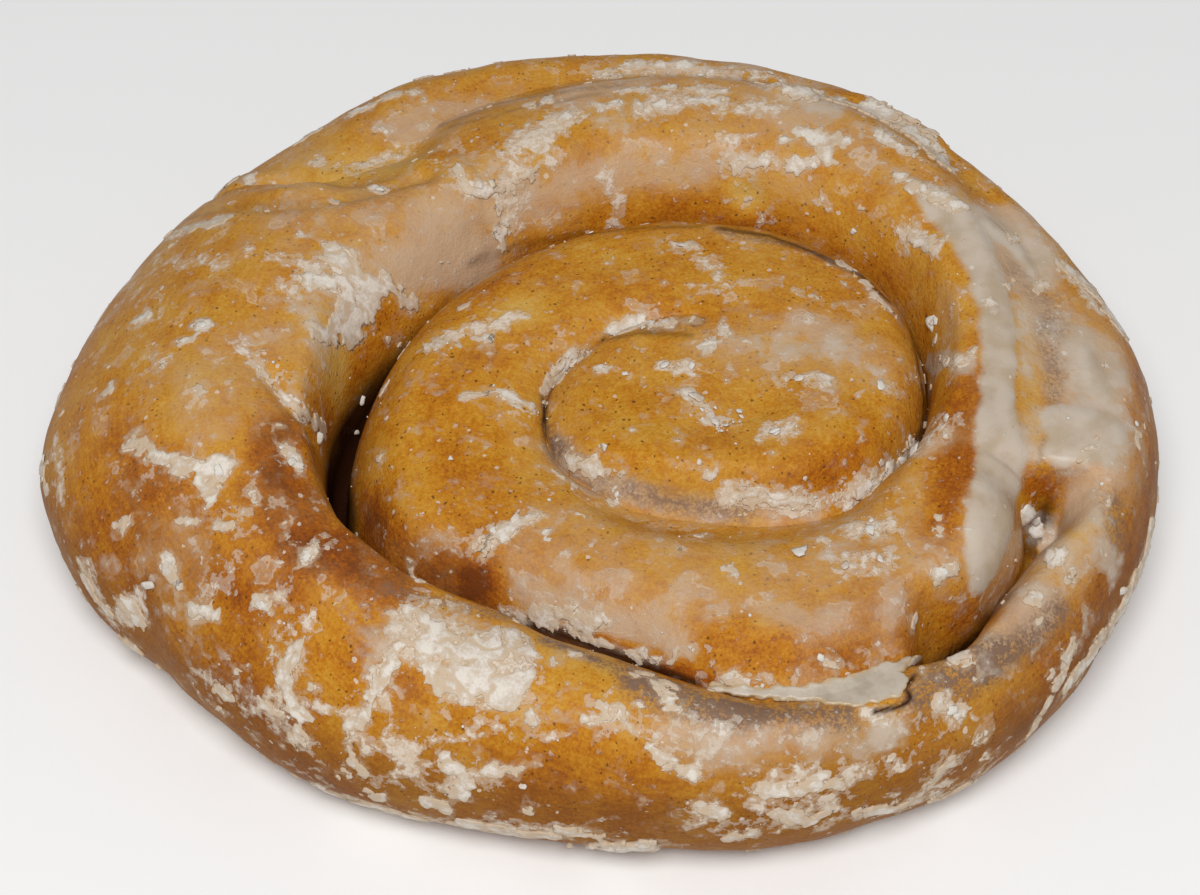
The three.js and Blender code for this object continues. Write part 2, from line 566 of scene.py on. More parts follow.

# Where the dough is browned more, or less. Some strokes along creases and near the rim paint shade
# as browning.
TOAST_AND_SHADE = (
    soft(11, 0.28, (130, 560), (200, 640), (270, 730), (330, 790)),
    soft(5, 0.3, (220, 660), (275, 720)),
    soft(5, 0.3, (370, 665), (405, 690)),
    soft(3, 0.4, (985, 375), (985, 430)),
    soft(8, 0.22, (540, 770), (640, 780), (600, 820)),
    soft(7, 0.4, (1140, 380), (1150, 470), (1130, 560), (1060, 670)),
    soft(5, 0.3, (957, 390), (960, 450), (940, 540)),
    soft(5.5, 0.85, (280, 435), (283, 480), (318, 538), (390, 580)),
    soft(7, 0.2, (250, 540), (285, 560)),
    soft(6, 0.7, (370, 520), (410, 560), (470, 592)),
    soft(1.8, 0.8, (540, 627), (600, 648), (660, 670), (720, 687)),
    soft(4, 0.4, (820, 672), (860, 668), (910, 650)),
    soft(3.4, 0.25, (1034, 480), (1046, 500)),
    soft(5, 0.5, (1010, 720), (1030, 735)),
    soft(5, 0.4, (970, 625), (1010, 600), (1035, 640)),
    soft(5, 0.2, (80, 420), (125, 425)),
    soft(4, -0.5, (325, 350), (340, 390)),
    soft(7, 0.22, (480, 330), (450, 420), (480, 500), (530, 560)),
    soft(6, 0.2, (650, 320), (740, 310)),
    soft(5, 0.2, (872, 440), (840, 470)),
    soft(6, 0.2, (105, 400), (125, 450), (170, 490)),
    soft(6, 0.2, (680, 730), (800, 735)),
    soft(5.5, 0.15, (440, 320), (560, 240), (680, 210), (800, 235), (880, 300)),
    soft(4, 0.2, (340, 470), (330, 400), (380, 340)),
    soft(5, 0.2, (430, 580), (560, 640), (700, 665), (960, 600)),
    soft(3, 0.7, (478, 582)),
    soft(5, 0.15, (728, 650), (775, 652)),
    soft(9, 0.4, (140, 460), (200, 540), (270, 610)),
    soft(6, 0.2, (500, 560), (580, 580), (680, 610)),
    soft(5, 0.25, (258, 465), (264, 520), (300, 565)),
    soft(6, 0.25, (830, 640), (900, 610)),
    soft(4, 0.35, (845, 460), (800, 480)),
    soft(7, 0.15, (80, 500), (130, 560)),
    soft(4, 0.3, (1080, 480), (1110, 490)),
    soft(4, -0.3, (540, 640), (600, 660)),
    soft(5, -0.3, (330, 370), (320, 320)),
    soft(5, 0.28, (957, 385), (958, 450), (940, 520)),
    soft(3, -0.35, (350, 330), (338, 400), (335, 450)),
    soft(3, 0.35, (1034, 485), (1050, 490), (1066, 484)),
    soft(2.4, -0.4, (1026, 310), (1028, 370), (1034, 450)),
    soft(6, -0.45, (280, 175), (400, 165)),
    soft(5, -0.4, (450, 330), (520, 310)),
    soft(5, -0.3, (240, 540)),
    soft(5, -0.4, (1085, 500), (1060, 560)),
    soft(4, -0.9, (745, 195)),
    soft(6, -0.3, (215, 640)),
    soft(8, -0.2, (200, 380), (160, 420)),
)

# Where the thin milky film is thicker, or thinner.
FILM = (
    soft(13, 0.35, (220, 380)),
    soft(8, 0.4, (170, 560)),
    soft(9, 0.25, (440, 250), (520, 200), (620, 160), (720, 150), (790, 180)),
    soft(13, 0.45, (300, 215), (380, 215), (470, 235)),
    soft(6, 0.35, (450, 230), (480, 260)),
    soft(10, 0.3, (330, 150), (480, 110), (560, 95)),
    soft(8, 0.48, (600, 85), (720, 85), (820, 105)),
    soft(6, 0.5, (520, 190), (620, 178), (700, 175)),
    soft(6.5, 0.5, (720, 345), (800, 345), (870, 360)),
    soft(9, 0.4, (540, 540), (680, 580), (800, 570), (900, 540)),
    soft(8, -0.4, (470, 410), (480, 490)),
    soft(4, 0.5, (400, 132), (450, 116), (500, 104)),
    soft(6, 0.32, (800, 122), (860, 148), (900, 185)),
    soft(4, 1.2, (420, 272), (460, 268), (480, 262)),
    soft(4, 0.5, (360, 262), (400, 264)),
    soft(5, 0.5, (275, 330), (325, 345)),
    soft(3, 0.6, (800, 318), (840, 330)),
    soft(3.4, -1.2, (1036, 485), (1046, 502)),
    soft(2.6, 1, (1040, 532), (1054, 552)),
    soft(4, 0.6, (770, 630), (830, 622), (890, 616)),
    soft(5, 0.9, (1020, 545), (1000, 590)),
    soft(4.6, 0.6, (1074, 502), (1095, 488), (1110, 480)),
    soft(5, 0.6, (1090, 530), (1060, 570), (1040, 600)),
    soft(3, 0.5, (945, 300), (948, 345)),
    soft(3, 0.9, (918, 448), (950, 436)),
    soft(5, 0.6, (1080, 320), (1110, 360)),
    soft(6, 0.22, (570, 600), (620, 620), (700, 620), (800, 615)),
    soft(1.8, -1, (600, 642), (660, 664), (720, 682)),
    soft(5, 0.3, (900, 575), (960, 560)),
    soft(7, 1, (1085, 425), (1105, 430)),
    soft(5, 1.1, (1085, 345), (1098, 385)),
    soft(5.5, 1.3, (1000, 225), (1012, 255), (1022, 280)),
    soft(4, 0.8, (1010, 215), (1045, 250)),
    soft(3.6, 0.35, (1040, 262), (1062, 290)),
    soft(3, 0.9, (1040, 310), (1052, 350), (1056, 390)),
    soft(2.6, 0.6, (1028, 310), (1030, 380), (1034, 450)),
    soft(4, 0.8, (1062, 520), (1080, 510)),
    soft(4, 0.6, (1036, 610), (1000, 640)),
    soft(5, 0.8, (670, 738), (760, 745), (870, 740)),
    soft(5, 0.3, (1000, 640), (1060, 600)),
    soft(7, 0.3, (1120, 360), (1140, 480)),
    soft(6, 0.2, (930, 760), (1020, 700)),
    soft(3, 0.8, (556, 448), (600, 482), (680, 504), (745, 512), (810, 512)),
    soft(3, 0.7, (525, 600), (560, 612), (620, 628), (680, 646)),
    soft(4.5, -0.25, (285, 440), (278, 480), (312, 530), (370, 572)),
    soft(6, -0.5, (80, 500), (110, 540)),
    soft(6, -0.9, (355, 640), (340, 700)),
    soft(9, -0.8, (520, 730), (600, 780), (560, 830)),
    soft(8, -0.5, (400, 350), (400, 480)),
    soft(6, -0.5, (600, 400), (660, 460)),
    soft(6, -0.3, (720, 270), (640, 250)),
    soft(5, -0.7, (870, 420), (830, 480)),
    soft(3, -0.5, (935, 385), (950, 410), (945, 520)),
    soft(5, -0.6, (440, 320), (520, 270), (640, 218), (740, 210)),
    soft(5, -0.5, (350, 420), (390, 350)),
    soft(3, -1.2, (478, 582)),
    soft(4.2, -1.2, (730, 645), (770, 650)),
    soft(5, -0.5, (230, 600), (230, 660)),
    soft(4, -0.3, (1105, 620), (1090, 650)),
)

# Smears of cinnamon sugar along the creases.
CINNAMON = (
    soft(0.8, 0.7, (440, 126), (500, 103), (580, 89), (622, 85)),
    soft(1.5, 1.2, (545, 640), (585, 655), (627, 673), (676, 695)),
    soft(3.2, 1.5, (640, 684), (676, 698), (705, 706), (731, 711)),
    soft(2.8, 1.3, (731, 712), (800, 714), (845, 717)),
    soft(4.2, 1.2, (925, 692), (962, 675), (985, 660)),
    soft(3, 1.1, (985, 665), (1030, 640), (1058, 612)),
    soft(3, 1, (1112, 505), (1118, 545)),
    soft(2.8, 0.55, (1016, 272), (1034, 284)),
    soft(3.4, 0.55, (1044, 300), (1058, 325)),
    soft(3, 0.75, (1048, 330), (1056, 365), (1052, 400), end_mm=1.6),
    soft(0.7, 0.7, (1053, 412), (1042, 451), (1038, 474)),
    soft(0.9, 0.6, (1050, 471), (1082, 472)),
    soft(2.2, 0.85, (556, 448), (600, 482), (680, 504), (745, 512)),
    soft(1.3, 0.9, (543, 400), (545, 425), (560, 450)),
    soft(1.4, 0.8, (386, 588), (429, 600), (536, 624), (600, 650), (680, 690)),
    soft(1.4, 0.8, (720, 230), (800, 246), (860, 275), (900, 320)),
    soft(1.5, 0.9, (646, 328), (700, 322)),
    soft(1.8, 0.35, (490, 235), (480, 262)),
)

# Where painted shade darkens a deep crease or crack.
GAP_SHADE = (
    soft(3, 0.7, (346, 440), (346, 480), (354, 515)),
    soft(1.5, 0.9, (533, 626), (556, 633), (585, 643), (620, 657), (655, 669), (695, 683),
         end_mm=0.9),
    soft(0.8, 0.8, (913, 345), (919, 370), (924, 400), (922, 430), (910, 448)),
    soft(0.9, 0.8, (720, 228), (770, 236), (820, 255), (860, 275), (890, 302)),
    soft(0.9, 0.4, (470, 262), (520, 246), (570, 236), (640, 228), (700, 226)),
    soft(0.7, 0.7, (543, 400), (545, 422)),
    soft(0.8, 0.45, (604, 340), (640, 333), (690, 335)),
    soft(2.2, 0.5, (950, 655), (985, 625), (1005, 600)),
    soft(0.5, 1.1, (874, 712), (902, 706), (911, 698), (906, 686), (914, 677), (924, 664)),
    soft(1.8, 0.8, (1046, 500), (1045, 518)),
    soft(0.7, 0.9, (1094, 292), (1101, 303)),
    soft(0.6, 0.9, (1118, 328), (1126, 338)),
    soft(0.7, 0.3, (450, 127), (520, 108), (600, 94)),
    soft(0.7, 0.25, (182, 220), (240, 206), (310, 202)),
)

# The sheet of glaze in the front crease.
POOL = (
    hard(0.9, (712, 690), (755, 693), (805, 694), end_mm=1.7),
    hard(1.7, (805, 694), (850, 695), end_mm=3.9),
    hard(3.9, (850, 695), (886, 684), end_mm=4.4),
    hard(2.6, (880, 678), (915, 660), end_mm=0.8),
)

# The pool of glaze that ran down the right side.
MILK = (
    hard(2, (912, 182), (932, 196), end_mm=3.6),
    hard(3.6, (932, 196), (955, 216), end_mm=5.0),
    hard(5, (955, 216), (974, 243), (987, 268), end_mm=4.6),
    hard(4.6, (987, 268), (997, 310), (1000, 350), end_mm=4.2),
    hard(4.2, (1000, 350), (1000, 400), end_mm=4.2),
    hard(4.2, (1000, 400), (1001, 440), (1001, 475), end_mm=7.2),
    hard(7.2, (1001, 475), (997, 510), end_mm=7.2),
    hard(7.2, (997, 510), (987, 560), end_mm=5.6),
    hard(5.6, (986, 560), (982, 578), end_mm=3.4),
    hard(3, (990, 225), (1018, 248), (1032, 272), end_mm=1.6),
    hard(2.4, (1086, 350), (1100, 390), end_mm=3.4),
    hard(5.6, (1064, 424), (1104, 428), end_mm=5.0),
    hard(3.4, (1058, 448), (1104, 452), end_mm=3.4),
)

# Where the pool thins out into a haze.
HAZE = (
    soft(5, 1, (955, 200), (1008, 232), (1044, 268)),
    soft(4, 0.55, (1008, 300), (1020, 380), (1016, 470)),
    soft(3, 0.5, (1004, 480), (1000, 550)),
    soft(6, 1, (1088, 345), (1102, 390), (1092, 440)),
    soft(4, 0.6, (1056, 532), (1095, 520)),
    soft(4, 0.45, (1045, 575), (1015, 606)),
    soft(3.4, 0.5, (872, 728), (898, 738)),
    soft(3, 0.9, (1100, 556), (1116, 566)),
    soft(2.2, 1.1, (930, 362), (950, 358), (968, 366)),
    soft(5, 0.35, (130, 590), (190, 615)),
    soft(5, 0.6, (300, 300), (325, 330)),
    soft(5, 0.7, (380, 640), (440, 620), (500, 660)),
    soft(5, 0.35, (700, 745), (780, 748), (880, 738)),
    soft(5, 0.45, (330, 270), (365, 295)),
    soft(5, 0.7, (630, 75), (720, 72), (800, 90)),
    soft(4, 0.45, (500, 150), (560, 128), (640, 108)),
    soft(4, 0.45, (770, 345), (830, 350), (880, 385)),
    soft(4, 0.5, (800, 545), (870, 545)),
    soft(4, 0.5, (820, 104), (880, 128)),
    soft(6, 0.35, (205, 680), (260, 706), (302, 745)),
    soft(4, 0.3, (1080, 635), (1055, 670)),
)

# Speckled sugar where crust has come off.
RESIDUE = (
    # left side
    soft(4, 0.42, (340, 262), (366, 296), (350, 322)),
    soft(2.4, 0.8, (290, 290), (310, 278)),
    soft(2.4, 0.5, (240, 350), (262, 362), (275, 378)),
    soft(2.4, 0.5, (130, 325), (160, 310)),
    soft(3, 0.5, (150, 262), (215, 262)),
    soft(2, 0.6, (250, 250), (310, 265)),
    soft(2, 0.9, (180, 232), (226, 217)),
    soft(2, 0.7, (55, 440), (62, 500)),
    soft(3.4, 0.45, (238, 520), (232, 560), (215, 590)),
    soft(3, 0.8, (140, 600), (125, 620)),
    soft(2.6, 0.9, (85, 570), (110, 620)),
    soft(2.2, 0.6, (256, 606), (270, 602)),
    soft(2, 0.5, (284, 588), (298, 574)),
    soft(1.4, 0.6, (290, 458), (298, 466)),
    soft(1.6, 0.5, (306, 535), (340, 545)),
    soft(3.6, 0.5, (300, 625), (285, 660), (280, 690)),
    soft(4.2, 0.42, (205, 684), (240, 702), (285, 722), (312, 756)),
    soft(3.4, 0.48, (296, 768), (340, 798), (380, 812)),
    # far side
    soft(2.2, 0.6, (350, 170), (413, 149)),
    soft(2.2, 0.6, (440, 168), (467, 186), (494, 190), (517, 173), (556, 158)),
    soft(3.5, 0.55, (515, 225), (512, 200)),
    soft(3.4, 0.75, (512, 150), (535, 140)),
    soft(3, 0.5, (535, 136), (560, 128)),
    soft(2.6, 0.8, (552, 121), (574, 114)),
    soft(3, 0.62, (630, 70), (715, 70), (780, 82)),
    soft(2, 0.6, (630, 90), (728, 90)),
    soft(2.8, 0.62, (645, 108), (672, 104)),
    soft(2.6, 0.66, (725, 108), (775, 108)),
    soft(2, 0.55, (722, 140), (742, 136)),
    soft(2, 0.6, (726, 162), (772, 162)),
    soft(1.8, 0.5, (735, 175), (748, 205), (768, 226)),
    soft(2, 0.8, (602, 175), (618, 200), (614, 222)),
    soft(2, 0.35, (820, 200), (875, 258)),
    soft(2.4, 0.8, (905, 230), (935, 248)),
    soft(2, 0.4, (930, 366), (970, 360)),
    soft(2, 0.4, (925, 424), (955, 420), (915, 445)),
    # middle
    soft(2.6, 0.8, (432, 345), (465, 328)),
    soft(2.4, 0.8, (485, 330), (517, 315)),
    soft(2.2, 0.8, (676, 247), (697, 246)),
    soft(2.6, 0.8, (706, 262), (722, 276)),
    soft(2, 0.8, (800, 291)),
    soft(2, 0.8, (808, 318)),
    soft(2.2, 0.8, (638, 325)),
    soft(2, 0.8, (664, 366), (694, 368)),
    soft(3, 0.8, (770, 432), (785, 430)),
    soft(3, 0.45, (790, 380), (820, 378)),
    soft(2.6, 0.45, (865, 390), (892, 387)),
    soft(2.6, 0.75, (850, 530), (885, 522)),
    soft(3.4, 0.7, (845, 566), (888, 560)),
    soft(2.6, 0.55, (478, 548), (532, 516)),
    soft(2, 0.25, (545, 560), (600, 552)),
    soft(2.6, 0.8, (505, 614), (595, 624)),
    soft(3, 0.8, (730, 496), (806, 502)),
    soft(2.2, 0.6, (832, 500), (920, 448)),
    soft(1.6, 0.4, (640, 672), (720, 682), (790, 684)),
    # front
    soft(2.6, 0.25, (398, 640), (385, 680), (360, 715)),
    soft(4, 0.6, (420, 650), (450, 685)),
    soft(5, 0.28, (690, 735), (770, 738), (860, 738), (905, 735)),
    soft(2, 0.8, (868, 712), (888, 712)),
    soft(3, 0.6, (855, 776), (895, 766)),
    soft(5.6, 0.7, (420, 610), (470, 660), (510, 680)),
    soft(2, 0.55, (352, 742), (395, 750), (402, 772), (372, 784), (350, 765)),
    soft(1.3, 0.65, (385, 700), (388, 740), (410, 750)),
    soft(1.3, 0.65, (400, 748), (440, 742), (470, 735)),
    soft(1.1, 0.7, (300, 700), (345, 716), (385, 705)),
    soft(1.1, 0.7, (410, 750), (420, 785), (446, 790)),
    soft(1.1, 0.6, (480, 720), (520, 740), (560, 735)),
    soft(3.4, 0.6, (440, 765), (480, 780)),
    soft(4, 0.6, (350, 812), (420, 826)),
    soft(4, 0.9, (465, 825), (555, 832)),
    soft(3.6, 0.5, (602, 706), (640, 720)),
    soft(3, 0.3, (650, 742), (690, 765)),
    soft(5, 0.5, (770, 792), (830, 785)),
    soft(4, 0.5, (700, 815), (745, 836)),
    soft(4, 0.5, (780, 820), (900, 808)),
    soft(4, 0.7, (925, 795), (990, 780)),
    soft(3, 0.8, (935, 775), (955, 760)),
    # right
    soft(2, 0.8, (1066, 272), (1125, 335)),
    soft(2.2, 1, (915, 184), (938, 196), (956, 206)),
    soft(1.6, 0.8, (988, 303), (994, 310)),
    soft(3, 0.9, (1028, 515), (1036, 530)),
    soft(1.4, 0.6, (1056, 556)),
    soft(1.6, 0.6, (1032, 600)),
    soft(2.6, 0.6, (1150, 530), (1130, 600), (1070, 690)),
    soft(3, 0.8, (948, 705), (957, 718)),
)

# The white crust. The strength is how many times its usual thickness it has.
CRUST = (
    # left shoulder
    hard(2.8, (330, 252), (348, 262), (358, 282)),
    hard(2.6, (310, 284), (340, 280), (380, 286)),
    hard(4.2, (365, 300), (350, 330)),
    hard(2.4, (345, 300), (334, 326)),
    hard(1.6, (312, 334), (335, 338)),
    hard(1.6, (400, 298), (412, 304)),
    hard(1.2, (262, 372), (275, 384)),
    hard(1.2, (282, 392), (298, 412), (320, 424), (325, 440)),
    hard(1.6, (196, 323), (208, 327)),
    hard(1.4, (377, 189), (386, 191)),
    hard(1.2, (105, 394), (110, 390)),
    hard(1.2, (180, 342), (192, 338)),
    hard(1.3, (134, 324), (146, 316)),
    hard(1.1, (190, 230), (222, 220)),
    hard(1.4, (248, 178)),
    hard(0.9, (300, 140), (318, 131)),
    hard(0.9, (222, 182), (234, 178)),
    hard(0.8, (350, 114), (374, 105)),
    hard(0.9, (388, 98), (412, 92)),
    hard(1.1, (172, 236), (190, 228)),
    # the far side of the coil
    hard(1.2, (455, 168), (467, 188), (494, 190)),
    hard(1.1, (494, 190), (514, 185), (534, 170)),
    hard(1, (499, 195), (499, 248)),
    hard(1.4, (530, 106), (550, 101)),
    hard(1.4, (556, 120), (570, 115)),
    hard(1.6, (602, 76), (614, 76)),
    hard(1.3, (626, 66), (680, 66), (715, 72)),
    hard(0.9, (624, 91), (670, 88), (725, 91)),
    hard(1.3, (601, 106), (614, 104)),
    hard(1.2, (640, 108), (668, 106)),
    hard(1.2, (690, 101), (722, 101)),
    hard(2.6, (814, 136), (840, 142), end_mm=2.0),
    hard(2.2, (826, 146), (830, 160), end_mm=0.9),
    hard(1, (799, 130)),
    hard(1.2, (734, 165), (765, 162)),
    hard(1.2, (785, 168), (812, 164)),
    hard(2.4, (795, 92), (830, 100), (868, 110), strength=1.6),
    hard(3.8, (868, 110), (898, 122), (925, 142), (940, 162), strength=2.0),
    hard(1.8, (884, 136), (905, 152), strength=1.3),
    hard(1.6, (902, 179), (915, 186)),
    hard(1.6, (912, 236), (930, 245)),
    hard(1, (940, 362), (962, 362)),
    hard(1.2, (908, 445), (918, 444)),
    # middle of the coil
    hard(1.2, (432, 341), (437, 350)),
    hard(1.1, (478, 340), (484, 338)),
    hard(1, (462, 398), (496, 392), (532, 408)),
    hard(1.2, (547, 384), (568, 364), (588, 352)),
    hard(1.4, (606, 331), (630, 325)),
    hard(1.3, (642, 323), (668, 324), (690, 317)),
    hard(1.2, (543, 390), (552, 386)),
    hard(1.7, (575, 460), (592, 464), (606, 473)),
    hard(1.9, (734, 497), (765, 495), (805, 502)),
    hard(1.6, (834, 499), (862, 488), (885, 478)),
    hard(1.8, (893, 470), (906, 458), (916, 448)),
    hard(0.9, (840, 262), (868, 285), (884, 305)),
    hard(1.5, (484, 546), (502, 530), (528, 518)),
    hard(1.1, (684, 247), (692, 246)),
    hard(1.3, (705, 346), (722, 331)),
    hard(1, (684, 392), (700, 402), (712, 414)),
    hard(1.3, (713, 419), (723, 423)),
    hard(1.4, (856, 531), (876, 525)),
    hard(1.7, (938, 572), (950, 569)),
    hard(0.9, (940, 520), (938, 535)),
    hard(2.3, (540, 613), (570, 616), (598, 618), end_mm=1.7),
    hard(1.3, (583, 628), (590, 636)),
    hard(0.7, (556, 626), (582, 636), (608, 644), (640, 655), (670, 663)),
    hard(1, (640, 672), (668, 684)),
    hard(1, (732, 679), (768, 680)),
    # left side
    hard(1.4, (133, 441), (152, 452), (172, 458)),
    hard(2, (172, 460), (196, 468)),
    hard(3.6, (205, 478), (218, 470)),
    hard(2, (212, 495), (214, 482)),
    hard(1.2, (289, 452), (298, 464)),
    hard(1.3, (306, 560), (312, 553)),
    hard(1.7, (168, 562), (176, 580)),
    hard(1.3, (195, 611), (212, 608)),
    hard(0.9, (182, 524), (196, 520)),
    hard(0.9, (220, 526), (244, 520)),
    hard(1.1, (260, 602), (270, 606)),
    hard(1.4, (40, 466), (46, 486)),
    hard(1.5, (86, 582), (98, 602), (112, 614)),
    hard(2.6, (128, 606), (138, 618)),
    hard(1.5, (124, 640), (138, 648), strength=2.2),
    # front left
    hard(1.4, (298, 645), (290, 660), (286, 680)),
    hard(1, (276, 655), (286, 690), (304, 716)),
    hard(1.5, (398, 646), (386, 670), (372, 698)),
    hard(1.3, (370, 708), (348, 726)),
    hard(2, (408, 612), (435, 628), (425, 650)),
    hard(3.6, (450, 645), (485, 652), (508, 640)),
    hard(3, (440, 672), (468, 690)),
    hard(3.8, (480, 672), (508, 690), (518, 660), strength=1.1),
    hard(1.2, (528, 715), (534, 722)),
    hard(1.2, (352, 756), (362, 772)),
    hard(2, (446, 762), (466, 775), (456, 792)),
    hard(1.4, (470, 775), (496, 769)),
    hard(1.4, (426, 801), (444, 808)),
    hard(1.1, (214, 688), (230, 698)),
    hard(1.2, (262, 706), (280, 716)),
    hard(1.3, (296, 734), (306, 752)),
    hard(1.4, (316, 786), (340, 800)),
    hard(2.4, (356, 808), (386, 814), (416, 825), end_mm=2.0),
    hard(3.6, (466, 824), (505, 832), (552, 836), strength=1.1, end_mm=2.0),
    hard(1.6, (560, 828), (598, 836), strength=1.2),
    hard(3.8, (606, 846), (628, 850), (642, 845), strength=2.6),
    # front right
    hard(1.4, (606, 710), (620, 715)),
    hard(1, (652, 682), (668, 692), (672, 706)),
    hard(1.2, (650, 748), (665, 762), (695, 772)),
    hard(1.6, (702, 806), (722, 815)),
    hard(1.5, (728, 838), (750, 832)),
    hard(1.8, (762, 792), (790, 790), (832, 783)),
    hard(2, (776, 814), (808, 820), (828, 810)),
    hard(1.2, (822, 777), (840, 786)),
    hard(1.8, (860, 812), (896, 808), strength=1.5),
    hard(1.5, (936, 800), (980, 794), strength=1.5),
    hard(1.4, (940, 770), (950, 763)),
    hard(1.5, (944, 702), (956, 714)),
    # right side
    hard(2.2, (1064, 268), (1090, 288), strength=1.3),
    hard(1.9, (1090, 288), (1122, 332), strength=1.3),
    hard(1, (1034, 290), (1046, 284)),
    hard(1.3, (918, 186), (936, 195), (958, 204)),
    hard(1.5, (1056, 550), (1058, 563), strength=1.3),
    hard(1.1, (1069, 578), (1072, 574), strength=1.3),
    hard(1.4, (1030, 600), (1038, 596), strength=1.3),
    hard(1.5, (955, 662), (964, 658), strength=1.4),
    hard(2.4, (1150, 530), (1143, 560), (1130, 588), strength=1.5),
    hard(2.6, (1122, 608), (1100, 642), (1070, 680), strength=1.5),
    hard(1.8, (1072, 645), (1058, 680), strength=1.2),
    hard(1.1, (1048, 702), (1030, 732)),
)


# ---- The dough's shape ----


@dataclass(frozen=True)
class StationCurve:
    """A smooth value along the rope, through stations of degrees and value."""

    stations: tuple[Station, ...]
    repeats: bool = False

    def at(self, degrees: Array) -> Array:
        """The curve's value, level beyond its ends unless it repeats every full turn.

        Args:
            degrees: Places along the rope.

        Returns:
            One value for each place.
        """
        marks = np.array(self.stations)
        if self.repeats:
            marks = np.concatenate([marks + (by, 0.0) for by in (-FULL_TURN, 0.0, FULL_TURN)])
            degrees = np.mod(degrees, FULL_TURN)
        turns, values = marks.T
        grades = np.diff(values) / np.diff(turns)
        before, after = grades[:-1], grades[1:]
        bends = before * after
        inner = np.where(bends > 0.0, 2.0 * bends / np.where(bends > 0.0, before + after, 1.0), 0.0)
        slopes = np.concatenate((grades[:1], inner, grades[-1:]))
        degrees = np.clip(degrees, turns[0], turns[-1])
        i = np.clip(np.searchsorted(turns, degrees, side="right") - 1, 0, len(turns) - 2)
        span = turns[i + 1] - turns[i]
        t = (degrees - turns[i]) / span
        rise = t * t * (3.0 - 2.0 * t)
        leaving = t * (1.0 - t) ** 2 * span * slopes[i]
        arriving = t * t * (t - 1.0) * span * slopes[i + 1]
        return values[i] + (values[i + 1] - values[i]) * rise + leaving + arriving


